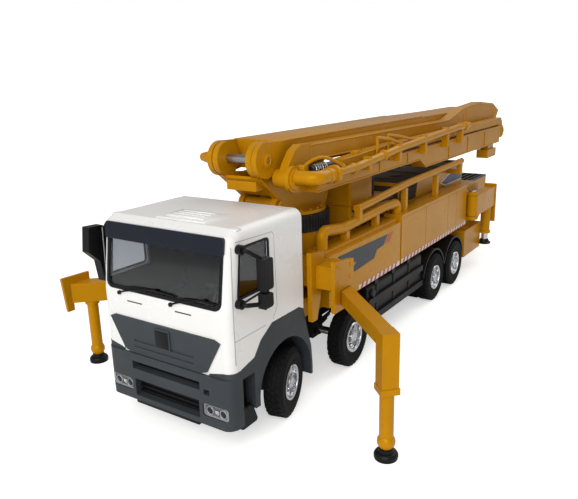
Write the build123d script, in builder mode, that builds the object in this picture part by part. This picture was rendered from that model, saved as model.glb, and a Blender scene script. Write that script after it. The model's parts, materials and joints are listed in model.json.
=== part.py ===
"""Scale model of a four-axle truck-mounted concrete pump, in millimetres.

+X is forward, +Y is the vehicle's left and +Z is up. The origin is on the ground,
at the middle of the model's length and width. Heights are above the ground, and
places along the vehicle are given as distances ahead of the first axle.
"""
import os
from math import atan2, cos, degrees, hypot, radians, sin, tan

from build123d import *

os.makedirs("parts", exist_ok=True)

# Overall sizes
overall_length = 390.4
front_overhang = 38.4
body_half_width = 35.6
first_axle = overall_length / 2 - front_overhang
play = 0.3
seat = 0.05


def ahead(distance):
    """X of a place this far ahead of the first axle, or behind it if negative."""
    return first_axle + distance


def across(y):
    """Side-view plane at this y, whose extrusions run towards the vehicle's right."""
    return Plane.XZ.offset(-y)


def block(x, y, z, mode=Mode.ADD):
    """Box in the part being built, between the two limits given for each axis."""
    with Locations(((x[0] + x[1]) / 2, (y[0] + y[1]) / 2, (z[0] + z[1]) / 2)):
        Box(x[1] - x[0], y[1] - y[0], z[1] - z[0], mode=mode)


def plate(outline, y, mode=Mode.ADD):
    """Plate in the part being built, with this (x, z) outline, between two values of y."""
    with BuildSketch(across(y[1])) as face:
        with BuildLine():
            Polyline(*outline, close=True)
        make_face()
    extrude(face.sketch, amount=y[1] - y[0], mode=mode)


def bar(centre, radius, y, mode=Mode.ADD):
    """Round bar along Y in the part being built, at this (x, z), between two values of y."""
    with BuildSketch(across(y[1])) as face:
        with Locations(centre):
            Circle(radius)
    extrude(face.sketch, amount=y[1] - y[0], mode=mode)


def both_sides(inner, outer):
    """The two y ranges of a piece that stands on the left and on the right."""
    return (inner, outer), (-outer, -inner)


def finish(builder, name):
    """Label a finished piece and write it to its STEP file."""
    builder.part.label = name
    export_step(builder.part, f"parts/{name}.step")


# Wheels and axles
axle_height = 15.8
tyre_radius = axle_height
tyre_width = 9.0
tyre_shoulder = 1.4
rim_radius = 8.2
tyre_outer_face = 37.0
twin_gap = 1.2
shaft_radius = 2.0
stub_radius = 1.5
running_gap = 0.1
second_axle = ahead(-61.5)
third_axle = ahead(-175.5)
fourth_axle = ahead(-213.0)
kingpin_y = 22.4
kingpin_radius = 1.5
steer_at_rest = 14.0

# Chassis
rail_y = 12.0
rail_width = 4.0
rail_bottom = 22.0
rail_top = 34.0
rail_front = ahead(22.6)
rail_rear = ahead(-262.0)

# Cab
cab_front = ahead(37.2)
cab_rear = ahead(-14.6)
cab_roof = 92.7
cab_roof_front = ahead(31.5)
cab_bottom = 33.8
sill_front = (ahead(31.0), 36.6)
sill_corner = ahead(33.2)
cab_wall = 1.6
screen_foot = 61.0
screen_head = cab_roof - 3.7
arch_radius = 19.8
arch_centre = (ahead(-0.3), 18.0)
bumper_bottom = 11.5
bumper_front = ahead(front_overhang)
bumper_rear = rail_front

# Body on the chassis
deck_bottom = rail_top
deck_top = 43.5
side_bottom = 39.5
side_inner = 24.0
panel_front = ahead(-37.5)
panel_break = ahead(-120.0)
panel_rear = ahead(-235.0)
panel_top = 67.0
ring_x = ahead(-58.0)
ring_radius = 21.0
ring_bottom = 73.0
ring_top = 81.0

# Outriggers
leg_x = ahead(5.0)
leg_y = 86.0
arm_yaw = 46.7
arm_widths = {1: 6.4, -1: 8.0}
foot_radius = 4.7

# Boom
pin_a = (ahead(-20.5), 111.3)
pin_b = (ahead(-28.0), 102.5)
pin_radius = 2.0
boom_1_half = 14.0
boom_2_y = (14.6, 21.6)
boom_3_y = (22.0, 31.0)
boom_rear = -overall_length / 2
pin_c = (boom_rear + 15.0, 112.0)
pin_d = (boom_rear + 19.0, 98.5)


# Chassis frame: two rails, cross members and the hangers of the fixed axles
hanger_half_length = 5.0
hanger_bottom = axle_height - 4.0
cross_member_places = [ahead(14.0), ahead(-28.0), ahead(-92.0), ahead(-150.0), ahead(-192.0), ahead(-252.0)]
cross_member_length = 6.0
inner_rail = rail_y - rail_width / 2
outer_rail = rail_y + rail_width / 2

with BuildPart() as chassis_frame:
    for y in both_sides(inner_rail, outer_rail):
        block((rail_rear, rail_front), y, (rail_bottom, rail_top))
        for x in (second_axle, third_axle, fourth_axle):
            block((x - hanger_half_length, x + hanger_half_length), y, (hanger_bottom, rail_bottom))
    for x in cross_member_places:
        block(
            (x - cross_member_length / 2, x + cross_member_length / 2),
            (-inner_rail, inner_rail),
            (rail_bottom + 2.0, rail_top - 2.0),
        )
    for x in (second_axle, third_axle, fourth_axle):
        bar((x, axle_height), shaft_radius + running_gap, (-outer_rail, outer_rail), Mode.SUBTRACT)
finish(chassis_frame, "chassis_frame")

# Front axle beam with the eyes of its kingpins
beam_half_length = 3.5
beam_half_height = 2.6
eye_radius = 3.2

with BuildPart() as front_axle:
    block(
        (first_axle - beam_half_length, first_axle + beam_half_length),
        (-kingpin_y, kingpin_y),
        (axle_height - beam_half_height, axle_height + beam_half_height),
    )
    block(
        (first_axle - beam_half_length, first_axle + beam_half_length),
        (-outer_rail, outer_rail),
        (axle_height + beam_half_height, rail_bottom),
    )
    with Locations((first_axle, kingpin_y, axle_height), (first_axle, -kingpin_y, axle_height)):
        Cylinder(eye_radius, 2 * beam_half_height)
        Cylinder(kingpin_radius + running_gap, 2 * beam_half_height, mode=Mode.SUBTRACT)
finish(front_axle, "front_axle")


def hub_plane(side):
    """Plane on the centre of a steered wheel, facing outwards, with the wheel as it stands."""
    turn = radians(steer_at_rest)
    outwards = Vector(-side * sin(turn), side * cos(turn), 0)
    reach = tyre_outer_face - tyre_width / 2 - kingpin_y
    kingpin = Vector(first_axle, side * kingpin_y, axle_height)
    return Plane(origin=kingpin + outwards * reach, z_dir=outwards, x_dir=(0, 0, 1))


# Steering knuckles: a kingpin through the beam's eye, a fork round it and a stub axle
fork_thickness = 1.6
fork_gap = 0.2
stub_end = tyre_width / 2 - 1.0

for name, side in (("knuckle_left", 1), ("knuckle_right", -1)):
    hub = hub_plane(side)
    fork_top = beam_half_height + fork_gap + fork_thickness
    reach = tyre_outer_face - tyre_width / 2 - kingpin_y
    with BuildPart() as knuckle:
        with Locations((first_axle, side * kingpin_y, axle_height)):
            Cylinder(kingpin_radius, 2 * fork_top)
        for z in (1, -1):
            with Locations((first_axle, side * kingpin_y, axle_height + z * (fork_top - fork_thickness / 2))):
                Cylinder(eye_radius, fork_thickness)
        with BuildSketch(hub.offset(-reach + eye_radius + fork_gap)):
            Rectangle(2 * fork_top, 2 * eye_radius - 1.0)
        extrude(amount=fork_thickness)
        for z in (1, -1):
            with BuildSketch(hub.offset(-reach)):
                with Locations((z * (fork_top - fork_thickness / 2), 0)):
                    Rectangle(fork_thickness, 2 * eye_radius - 1.0)
            extrude(amount=eye_radius + fork_gap + fork_thickness)
        with BuildSketch(hub.offset(-reach + eye_radius + fork_gap)):
            Circle(stub_radius)
        extrude(amount=reach - eye_radius - fork_gap + stub_end)
    finish(knuckle, name)


# Tyres and rims. A rim has a dished face with a ring of holes and a hub cap
rim_width = tyre_width - 1.2
dish_radius = 6.9
dish_depth = 2.6
hub_radius = 2.8
hub_length = 2.2
rim_hole_radius = 0.9
rim_hole_circle = 5.0
rim_holes = 8


def ring(plane, outer, inner, length, mode=Mode.ADD):
    """Disc or ring in the part being built, from this plane along its normal."""
    with BuildSketch(plane) as face:
        Circle(outer)
        if inner:
            Circle(inner, mode=Mode.SUBTRACT)
    extrude(face.sketch, amount=length, mode=mode)


def add_tyre(centre_plane):
    """Tyre in the part being built, centred on this plane, whose normal is the axle's direction."""
    ring(centre_plane.offset(-tyre_width / 2), tyre_radius, rim_radius, tyre_width)


def add_rim(centre_plane, bore):
    """Rim in the part being built, its dished face on the side that the plane faces."""
    back = centre_plane.offset(-rim_width / 2)
    dish = centre_plane.offset(rim_width / 2 - dish_depth)
    ring(back, rim_radius - seat, None, rim_width)
    ring(dish, dish_radius, None, dish_depth, Mode.SUBTRACT)
    ring(back, dish_radius, hub_radius, dish_depth, Mode.SUBTRACT)
    with BuildSketch(back) as holes:
        with PolarLocations(rim_hole_circle, rim_holes):
            Circle(rim_hole_radius)
    extrude(holes.sketch, amount=rim_width, mode=Mode.SUBTRACT)
    ring(dish, hub_radius, None, hub_length)
    if bore:
        ring(back, bore, None, rim_width / 2 + stub_end + play, Mode.SUBTRACT)


for name, side in (("left", 1), ("right", -1)):
    with BuildPart() as tyre:
        add_tyre(hub_plane(side))
        fillet(tyre.edges().filter_by(GeomType.CIRCLE).group_by(SortBy.RADIUS)[-1], tyre_shoulder)
    finish(tyre, f"tyre_1_{name}")
    with BuildPart() as rim:
        add_rim(hub_plane(side), stub_radius + running_gap)
    finish(rim, f"rim_1_{name}")

# The second axle carries single wheels, the last two carry twin wheels
single = tyre_outer_face - tyre_width / 2
twin = single - tyre_width - twin_gap
for number, axle, places in (
    (2, second_axle, (single,)),
    (3, third_axle, (single, twin)),
    (4, fourth_axle, (single, twin)),
):
    planes = [
        Plane(origin=(axle, side * y, axle_height), z_dir=(0, side, 0), x_dir=(0, 0, 1))
        for side in (1, -1)
        for y in places
    ]
    with BuildPart() as tyres:
        for plane in planes:
            add_tyre(plane)
        fillet(tyres.edges().filter_by(GeomType.CIRCLE).group_by(SortBy.RADIUS)[-1], tyre_shoulder)
    finish(tyres, f"tyres_{number}")
    with BuildPart() as rims:
        for plane in planes:
            add_rim(plane, None)
        bar((axle, axle_height), shaft_radius, (-single, single))
    finish(rims, f"rims_{number}")


# Cab shell: hollow, open below, with the windscreen and the side windows cut
arch_crown = [
    (cab_rear, 47.2),
    (ahead(-11.0), 49.0),
    (ahead(9.6), 49.0),
    (ahead(17.8), 44.2),
    (bumper_rear, 38.4),
]
cab_side = [
    (cab_front, cab_bottom),
    (cab_front, screen_foot),
    (cab_roof_front + 1.2, screen_head + 1.6),
    (cab_roof_front - 3.0, cab_roof),
    (cab_rear, cab_roof),
    *arch_crown,
    sill_front,
    (sill_corner, cab_bottom),
]
cab_corner = 4.0
inside_front = cab_front - cab_wall
inside_half = body_half_width - cab_wall
inside_side = [
    (inside_front, 0.0),
    (inside_front, screen_foot - 0.4),
    (cab_roof_front - 0.6, screen_head + 1.2),
    (cab_roof_front - 3.6, cab_roof - cab_wall),
    (cab_rear + cab_wall, cab_roof - cab_wall),
    (cab_rear + cab_wall, 0.0),
]
screen_lean = degrees(atan2(cab_front - cab_roof_front - 1.2, screen_head + 1.6 - screen_foot))
screen_length = hypot(cab_front - cab_roof_front - 1.2, screen_head + 1.6 - screen_foot)
screen_width = 2 * (body_half_width - cab_corner) - 0.2
screen_margin = 1.4
screen_head_margin = 4.54
screen_height = screen_length - screen_margin - screen_head_margin
screen_plane = Plane(
    origin=(cab_front, 0, screen_foot),
    x_dir=(0, 1, 0),
    z_dir=(cos(radians(screen_lean)), 0, sin(radians(screen_lean))),
)
side_window = [
    (ahead(10.4), screen_foot + 4.7),
    (ahead(10.4), cab_roof - 7.1),
    (ahead(28.6), cab_roof - 7.1),
    (ahead(31.2), screen_foot + 4.7),
]
window_corner = 1.6

with BuildPart() as cab_shell:
    plate(cab_side, (-body_half_width, body_half_width))
    corner_edges = [
        edge
        for edge in cab_shell.edges().filter_by(Axis.Y, reverse=True)
        if edge.center().Z > sill_front[1] + 4.0
        and (edge.center().X > ahead(22.0) or edge.center().Z > cab_roof - 0.1)
        and abs(abs(edge.center().Y) - body_half_width) < 0.1
    ]
    fillet(corner_edges, cab_corner)
    plate(inside_side, (-inside_half, inside_half), Mode.SUBTRACT)
    with BuildSketch(screen_plane):
        with Locations((0, screen_margin + screen_height / 2)):
            RectangleRounded(screen_width, screen_height, 3.0)
    extrude(amount=6.0, both=True, mode=Mode.SUBTRACT)
    with BuildSketch(across(body_half_width + 1.0)) as opening:
        with BuildLine():
            Polyline(*side_window, close=True)
        make_face()
        fillet(opening.vertices(), window_corner)
    extrude(opening.sketch, amount=2 * body_half_width + 2.0, mode=Mode.SUBTRACT)
finish(cab_shell, "cab_shell")


# Glazing: the windscreen and the two side windows, each seated in its opening
glass_inset = 0.4
glass_thickness = 0.9

with BuildPart() as cab_glazing:
    with BuildSketch(screen_plane.offset(-glass_inset)):
        with Locations((0, screen_margin + screen_height / 2)):
            RectangleRounded(screen_width - 2 * seat, screen_height - 2 * seat, 3.0 - seat)
    extrude(amount=-glass_thickness)
    for y in both_sides(body_half_width - glass_inset - glass_thickness, body_half_width - glass_inset):
        with BuildSketch(across(y[1])) as pane:
            with BuildLine():
                Polyline(*side_window, close=True)
            make_face()
            offset(amount=-seat, kind=Kind.INTERSECTION)
            fillet(pane.vertices(), window_corner - seat)
        extrude(pane.sketch, amount=y[1] - y[0])
finish(cab_glazing, "cab_glazing")

# Tinted band over the head of the windscreen
band_width = 65.0
band_height = 7.2
band_thickness = 1.2

with BuildPart() as sun_band:
    with BuildSketch(screen_plane):
        with Locations((0, screen_length - band_height / 2 - 0.4)):
            RectangleRounded(band_width, band_height, 1.2)
    extrude(amount=band_thickness)
finish(sun_band, "sun_band")

# Grille panel: a shield with level grooves and a plain raised square
grille_outline = [
    (-31.0, 48.8),
    (-23.4, cab_bottom + 1.4),
    (-20.0, cab_bottom + 0.3),
    (20.0, cab_bottom + 0.3),
    (23.4, cab_bottom + 1.4),
    (31.0, 48.8),
    (28.0, 50.0),
    (-28.0, 50.0),
]
grille_thickness = 0.7
groove_depth = 0.4
groove_heights = (37.4, 40.2)
groove_width = 34.0
square_size = 9.0
square_height = 44.0
square_thickness = bumper_front - cab_front - grille_thickness
front_plane = Plane(origin=(cab_front, 0, 0), x_dir=(0, 1, 0), z_dir=(1, 0, 0))

with BuildPart() as grille_panel:
    with BuildSketch(front_plane):
        with BuildLine():
            Polyline(*grille_outline, close=True)
        make_face()
    extrude(amount=grille_thickness)
    with BuildSketch(front_plane.offset(grille_thickness)):
        for z in groove_heights:
            with Locations((0, z)):
                Rectangle(groove_width, 0.9)
    extrude(amount=-groove_depth, mode=Mode.SUBTRACT)
    with BuildSketch(front_plane.offset(grille_thickness)):
        with Locations((0, square_height)):
            RectangleRounded(square_size, square_size, 0.8)
    extrude(amount=square_thickness)
finish(grille_panel, "grille_panel")

# Bumper: a wraparound block with an upper slot, a wide lower intake, lamp pockets and a lip.
# It rises at its sides to meet the cab, and has a step with a dropped foot behind each corner
bumper_corner = 5.0
upper_slot = ((-19.4, 19.4), (26.6, 30.2))
lower_slot = ((-18.6, 18.6), (13.8, 21.8))
tow_hole = ((21.4, 24.4), (25.2, 27.6))
slot_depth = 4.0
lamp_size = (13.0, 5.8)
lamp_y = 26.8
lamp_height = 18.4
lamp_pocket = 1.2
lip_drop = 1.5
step_x = (bumper_rear, ahead(30.6))
step_z = (17.5, 32.0)
step_depth = 5.0
foot_y = (body_half_width - step_depth, body_half_width - 1.4)
foot_outline = [
    (ahead(31.0), step_z[0]),
    (ahead(31.0), 9.4),
    (ahead(29.6), 8.6),
    (ahead(21.0), 8.6),
    (ahead(20.2), 9.6),
    (ahead(23.2), step_z[0]),
]

with BuildPart() as bumper:
    block((bumper_rear, bumper_front), (-body_half_width, body_half_width), (bumper_bottom, cab_bottom))
    fillet(bumper.edges().filter_by(Axis.Z).group_by(Axis.X)[-1], bumper_corner)
    for y, z in (upper_slot, lower_slot, tow_hole):
        block((bumper_front - slot_depth, bumper_front + 1.0), y, z, Mode.SUBTRACT)
    for side in (1, -1):
        with BuildSketch(front_plane.offset(bumper_front - cab_front)) as pocket:
            with Locations((side * lamp_y, lamp_height)):
                RectangleRounded(*lamp_size, 1.4)
        extrude(pocket.sketch, amount=-lamp_pocket - 3.0, mode=Mode.SUBTRACT)
    for y in both_sides(inside_half + seat, body_half_width):
        plate(
            [
                (bumper_rear, cab_bottom - 1.0),
                arch_crown[-1],
                sill_front,
                (sill_corner, cab_bottom),
                (sill_corner, cab_bottom - 1.0),
            ],
            y,
        )
    for y in both_sides(foot_y[0], body_half_width + 1.0):
        block(step_x, y, step_z, Mode.SUBTRACT)
    for y in both_sides(foot_y[1], body_half_width + 1.0):
        block(step_x, y, (0.0, step_z[0]), Mode.SUBTRACT)
    for y in both_sides(*foot_y):
        plate(foot_outline, y)
    block((bumper_rear + 4.0, bumper_front - 3.0), (-24.0, 22.0), (bumper_bottom - lip_drop, bumper_bottom))
finish(bumper, "bumper")

# Headlamps, one in each pocket
with BuildPart() as headlamps:
    for side in (1, -1):
        with BuildSketch(front_plane.offset(bumper_front - cab_front - lamp_pocket - 3.0)) as lens:
            with Locations((side * lamp_y, lamp_height)):
                RectangleRounded(lamp_size[0] - 2 * seat, lamp_size[1] - 2 * seat, 1.4 - seat)
        extrude(lens.sketch, amount=lamp_pocket + 1.4)
finish(headlamps, "headlamps")

# Wheel arches under the cab, one each side, standing against the bumper and the shell
arch_inner = 28.0
arch_outline = [
    (bumper_rear, 15.4),
    *reversed(arch_crown),
    (ahead(-15.6), 43.7),
    (ahead(-17.6), 36.0),
    (ahead(-20.6), 27.0),
    (ahead(-21.5), 18.0),
    (ahead(-21.6), 12.4),
]

with BuildPart() as wheel_arches:
    for y in both_sides(arch_inner, body_half_width):
        plate(arch_outline, y)
        bar(arch_centre, arch_radius, y, Mode.SUBTRACT)
        block(
            (arch_centre[0] - arch_radius, arch_centre[0] + arch_radius),
            y,
            (0.0, arch_centre[1]),
            Mode.SUBTRACT,
        )
finish(wheel_arches, "wheel_arches")

# Cab interior: floor, dashboard, two seats and a steering wheel
floor_top = 36.0
dash_rear = ahead(27.0)
dash_z = (42.0, screen_foot - 4.0)
seat_y = 15.0
seat_half_width = 8.0
seat_rear = ahead(-9.0)
seat_front = ahead(8.0)
seat_height = 51.0
seat_back_top = cab_roof - 17.7
headrest_top = cab_roof - 11.7
column_radius = 1.2
steering_radius = 6.0
steering_plane = Plane(origin=(ahead(18.0), seat_y, 62.0), x_dir=(0, 1, 0), z_dir=(-0.6, 0, 0.8))

with BuildPart() as cab_interior:
    block((cab_rear + cab_wall, bumper_rear + seat), (-26.0, 26.0), (rail_top, floor_top))
    block((bumper_rear + seat, inside_front), (-inside_half, inside_half), (rail_top, floor_top))
    block((dash_rear, inside_front), (-inside_half, inside_half), dash_z)
    block((ahead(30.0), inside_front), (-10.0, 10.0), (floor_top, dash_z[0]))
    for y in (seat_y, -seat_y):
        seat_width = (y - seat_half_width, y + seat_half_width)
        block((seat_rear, seat_front), seat_width, (floor_top, seat_height))
        block((seat_rear, seat_rear + 4.0), seat_width, (seat_height, seat_back_top))
        block((seat_rear, seat_rear + 3.2), (y - 4.0, y + 4.0), (seat_back_top, headrest_top))
    with BuildSketch(steering_plane):
        Circle(steering_radius)
        Circle(steering_radius - 1.1, mode=Mode.SUBTRACT)
        Rectangle(2 * steering_radius - 1.0, 1.4)
    extrude(amount=1.1)
    with BuildSketch(steering_plane):
        Circle(column_radius)
    extrude(amount=-16.0)
finish(cab_interior, "cab_interior")


def tube(points, radius, bend, mode=Mode.ADD):
    """Round bar in the part being built, along these points, with this bend radius between them."""
    with BuildLine() as path:
        if bend:
            FilletPolyline(*points, radius=bend)
        else:
            Polyline(*points)
    with BuildSketch(Plane(origin=path.line @ 0, z_dir=path.line % 0)) as face:
        Circle(radius)
    sweep(sections=face.sketch, path=path.line, mode=mode)


# Mirrors: on the left a tall and a short head, on the right one long blade and a front mirror
mirror_arm = 0.9
mirror_left_y = (42.4, 45.8)
mirror_left_heads = (
    (ahead(21.3), ahead(27.3), 69.6, cab_roof - 10.7),
    (ahead(21.8), ahead(27.0), screen_foot + 1.4, 68.2),
)
mirror_root = 1.9
mirror_roots = ((ahead(29.6), cab_roof - 7.3), (ahead(31.2), screen_foot + 3.2))
mirror_right_y = (-46.4, -42.0)
mirror_blade = [
    (ahead(35.6), 86.4),
    (ahead(28.0), 86.0),
    (ahead(25.6), 82.0),
    (ahead(25.0), 61.0),
    (ahead(30.0), 60.4),
    (ahead(31.4), 70.0),
    (ahead(37.0), 75.4),
]

with BuildPart() as mirrors:
    for x_rear, x_front, z_bottom, z_top in mirror_left_heads:
        block((x_rear, x_front), mirror_left_y, (z_bottom, z_top))
    fillet(mirrors.edges().filter_by(Axis.Y), 1.2)
    block((ahead(23.4), ahead(25.4)), (43.2, 45.0), (67.2, 70.6))
    for root in mirror_roots:
        bar(root, mirror_root, (body_half_width, body_half_width + 2.4))
    plate(mirror_blade, mirror_right_y)
    for (x, z), end in zip(mirror_roots, (cab_roof - 11.7, screen_foot + 2.6)):
        tube([(x, body_half_width, z), (x, body_half_width + 4.0, z), (ahead(24.6), 44.0, end)], mirror_arm, 1.2)
    for start, end in ((cab_roof - 5.3, cab_roof - 11.7), (screen_foot + 2.4, screen_foot + 3.4)):
        blade_arm = [
            (ahead(27.0), -body_half_width, start),
            (ahead(27.0), -body_half_width - 4.0, start),
            (ahead(28.4), -44.2, end),
        ]
        tube(blade_arm, mirror_arm, 1.2)
finish(mirrors, "mirrors")

# Deck on the rails with the round pedestal of the slew ring
deck_front = ahead(-30.0)
deck_rear = ahead(-238.0)
pedestal_radius = ring_radius - 1.0

with BuildPart() as deck:
    block((deck_rear, deck_front), (-side_inner, side_inner), (deck_bottom, deck_top))
    with Locations((ring_x, 0, (deck_top + ring_bottom) / 2)):
        Cylinder(pedestal_radius, ring_bottom - deck_top)
finish(deck, "deck")

# Slew ring with fine teeth round it and a bore for the turret's spigot
ring_teeth = 72
tooth_depth = 0.6
tooth_width = 0.9
spigot_radius = 8.0

with BuildPart() as slew_ring:
    with BuildSketch(Plane.XY.offset(ring_bottom)):
        with Locations((ring_x, 0)):
            Circle(ring_radius - tooth_depth)
            with PolarLocations(ring_radius - tooth_depth, ring_teeth):
                Rectangle(2 * tooth_depth, tooth_width)
            Circle(spigot_radius + running_gap, mode=Mode.SUBTRACT)
    extrude(amount=ring_top - ring_bottom)
finish(slew_ring, "slew_ring")

# Front outriggers: each arm runs outwards and forwards, in a tunnel, to its leg
left_arm_z = (47.8, 54.2)
right_arm_z = (35.6, 46.0)
arm_inner_y = 41.0
tunnel_inner_y = 18.0
tunnel_play = 0.4


def arm_plane(side, height, y):
    """Plane across a front arm where its middle is this far from the vehicle's, facing outwards."""
    outwards = Vector(cos(radians(arm_yaw)), side * sin(radians(arm_yaw)), 0)
    x = leg_x - (leg_y - y) / tan(radians(arm_yaw))
    return Plane(origin=(x, side * y, height), x_dir=(0, 0, 1), z_dir=outwards)


def arm_length(y1, y2):
    """Length along a front arm between two distances from the vehicle's middle."""
    return (y2 - y1) / sin(radians(arm_yaw))


def tunnel(side, z):
    """Cut the way of a front arm, with play all round, out of the part being built."""
    with BuildSketch(arm_plane(side, (z[0] + z[1]) / 2, tunnel_inner_y)) as way:
        Rectangle(z[1] - z[0] + 2 * tunnel_play, arm_widths[side] + 2 * tunnel_play)
    extrude(way.sketch, amount=arm_length(tunnel_inner_y, leg_y), mode=Mode.SUBTRACT)


# Side panels: a front box with a ledge and a rear box on each side
ledge_drop = 2.0
ledge_width = 2.4
panel_gap = 2.0
rear_panel_top = 68.6

with BuildPart() as side_panels:
    for y in both_sides(side_inner, body_half_width):
        left = y[0] > 0
        inner = (side_inner, side_inner + 4.0) if left else (-side_inner - 4.0, -side_inner)
        outer = (y[1] - ledge_width, y[1]) if left else (y[0], y[0] + ledge_width)
        block((panel_break + panel_gap / 2, panel_front), y, (side_bottom, panel_top))
        block((panel_rear, panel_break - panel_gap / 2), y, (side_bottom, rear_panel_top))
        block((panel_break, panel_front), outer, (panel_top - ledge_drop, panel_top), Mode.SUBTRACT)
        block(
            (panel_break - panel_gap / 2, panel_break + panel_gap / 2),
            inner,
            (side_bottom, panel_top - ledge_drop),
        )
    tunnel(1, left_arm_z)
    tunnel(-1, right_arm_z)
finish(side_panels, "side_panels")

# Front outrigger housing: a cross beam with two blades on each end, over both arms
housing_x = (ahead(-36.0), ahead(-22.0))
housing_z = (54.8, 65.0)
inner_blade = [
    (ahead(-18.0), 72.0),
    (ahead(-29.0), 70.4),
    (ahead(-29.0), 60.0),
    (ahead(-22.6), 39.4),
    (ahead(-18.6), 39.4),
]
outer_blade_left = [
    (ahead(-20.0), 69.0),
    (ahead(-37.4), 66.6),
    (ahead(-37.4), 58.0),
    (ahead(-30.0), 45.0),
    (ahead(-20.0), 45.0),
]
outer_blade_right = [
    (ahead(-20.0), 69.0),
    (ahead(-37.4), 66.6),
    (ahead(-37.4), 46.0),
    (ahead(-30.0), 33.0),
    (ahead(-20.0), 33.0),
]
inner_blade_y = (body_half_width, 38.0)
outer_blade_y = (46.8, 48.8)

with BuildPart() as outrigger_housing:
    block(housing_x, (-outer_blade_y[0], outer_blade_y[0]), housing_z)
    block((housing_x[0], ahead(-24.0)), (2.0 - side_inner, side_inner - 2.0), (deck_top, housing_z[0]))
    for y in both_sides(*inner_blade_y):
        plate(inner_blade, y)
    plate(outer_blade_left, outer_blade_y)
    plate(outer_blade_right, (-outer_blade_y[1], -outer_blade_y[0]))
    tunnel(1, left_arm_z)
    tunnel(-1, right_arm_z)
finish(outrigger_housing, "outrigger_housing")

# Rear body behind the last axle, with the pins and lugs of the rear outriggers
rear_body_x = (ahead(-280.0), ahead(-238.0))
rear_body_half = 30.0
rear_body_top = 64.0
rear_corner_x = (ahead(-272.0), ahead(-234.5))
rear_corner_bottom = 14.0
rear_hinge_x = ahead(-241.6)
rear_hinge_y = 38.0
rear_pin_radius = 2.0
rear_eye_radius = 4.2
rear_arm_z = (45.0, 60.0)
lug_thickness = 2.4
lug_bottoms = (rear_arm_z[0] - play - lug_thickness, rear_arm_z[1] + play)

with BuildPart() as rear_body:
    block(rear_body_x, (-rear_body_half, rear_body_half), (rail_top, rear_body_top))
    for y in both_sides(outer_rail, body_half_width):
        block(rear_corner_x, y, (rear_corner_bottom, rail_top))
    for side in (1, -1):
        for z in lug_bottoms:
            with BuildSketch(Plane.XY.offset(z)) as lug:
                with Locations((rear_hinge_x, side * (rear_hinge_y + rear_body_half - 2.0) / 2)):
                    Rectangle(2 * rear_eye_radius - 2.0, rear_hinge_y - rear_body_half + 2.0)
                with Locations((rear_hinge_x, side * rear_hinge_y)):
                    Circle(rear_eye_radius)
            extrude(lug.sketch, amount=lug_thickness)
        with BuildSketch(Plane.XY.offset(lug_bottoms[0])) as pin:
            with Locations((rear_hinge_x, side * rear_hinge_y)):
                Circle(rear_pin_radius)
        extrude(pin.sketch, amount=lug_bottoms[1] - lug_bottoms[0] + lug_thickness)
finish(rear_body, "rear_body")

# Hopper behind the rear body, open above, with a grate across it
hopper_x = (ahead(-322.0), rear_body_x[0])
hopper_half = 23.0
hopper_z = (28.0, 62.0)
hopper_floor_rear = ahead(-306.0)
hopper_slope_top = 38.0
hopper_wall = 1.8
grate_thickness = 1.2
grate_rim = 2.4
grate_bars = 9
grate_bar_width = 1.2

with BuildPart() as hopper:
    plate(
        [
            (hopper_x[1], hopper_z[0]),
            (hopper_floor_rear, hopper_z[0]),
            (hopper_x[0], hopper_slope_top),
            (hopper_x[0], hopper_z[1]),
            (hopper_x[1], hopper_z[1]),
        ],
        (-hopper_half, hopper_half),
    )
    plate(
        [
            (hopper_x[1] - hopper_wall, hopper_z[0] + hopper_wall),
            (hopper_floor_rear + 0.6, hopper_z[0] + hopper_wall),
            (hopper_x[0] + hopper_wall, hopper_slope_top + 0.8),
            (hopper_x[0] + hopper_wall, hopper_z[1] + 1.0),
            (hopper_x[1] - hopper_wall, hopper_z[1] + 1.0),
        ],
        (hopper_wall - hopper_half, hopper_half - hopper_wall),
        Mode.SUBTRACT,
    )
finish(hopper, "hopper")

with BuildPart() as hopper_grate:
    grate_z = (hopper_z[1], hopper_z[1] + grate_thickness)
    block(hopper_x, (-hopper_half, hopper_half), grate_z)
    block(
        (hopper_x[0] + grate_rim, hopper_x[1] - grate_rim),
        (grate_rim - hopper_half, hopper_half - grate_rim),
        grate_z,
        Mode.SUBTRACT,
    )
    for number in range(grate_bars):
        y = (number - (grate_bars - 1) / 2) * 2 * hopper_half / (grate_bars + 1)
        block(hopper_x, (y - grate_bar_width / 2, y + grate_bar_width / 2), grate_z)
finish(hopper_grate, "hopper_grate")

# Tanks and guard rails between the second and the third axle, hung under the side panels
tank_x = (ahead(-155.4), ahead(-80.0))
tank_y = (24.0, 34.0)
tank_z = (13.0, 37.0)
strap_places = [ahead(-92.0), ahead(-114.0), ahead(-136.0)]
guard_rails = (16.0, 26.0)

with BuildPart() as side_tanks:
    for y in both_sides(*tank_y):
        block(tank_x, y, tank_z)
    fillet(side_tanks.edges().filter_by(Axis.X), 2.4)
    for y in both_sides(*tank_y):
        for x in strap_places:
            block((x - 2.0, x + 2.0), y, (tank_z[1] - 4.0, side_bottom))
    for y in both_sides(tank_y[1] - 2.0, body_half_width):
        for z in guard_rails:
            block((tank_x[0], tank_x[1]), y, (z, z + 3.6))
finish(side_tanks, "side_tanks")

# Rear mudguards: an arch over each of the rear wheels, hung under the side panels
mudguard_radius = 19.4
mudguard_thickness = 1.2
mudguard_y = (side_inner, body_half_width)
mudguard_foot = 20.0

with BuildPart() as rear_mudguards:
    for y in both_sides(*mudguard_y):
        for x in (third_axle, fourth_axle):
            bar((x, axle_height), mudguard_radius, y)
        for x in (third_axle, fourth_axle):
            bar((x, axle_height), mudguard_radius - mudguard_thickness, y, Mode.SUBTRACT)
        block((fourth_axle - 30.0, third_axle + 30.0), y, (-10.0, mudguard_foot), Mode.SUBTRACT)
        hanger_y = (side_inner, 30.0) if y[0] > 0 else (-30.0, -side_inner)
        for x in (third_axle, fourth_axle):
            block((x - 3.0, x + 3.0), hanger_y, (axle_height + mudguard_radius - 0.8, side_bottom))
finish(rear_mudguards, "rear_mudguards")

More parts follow.
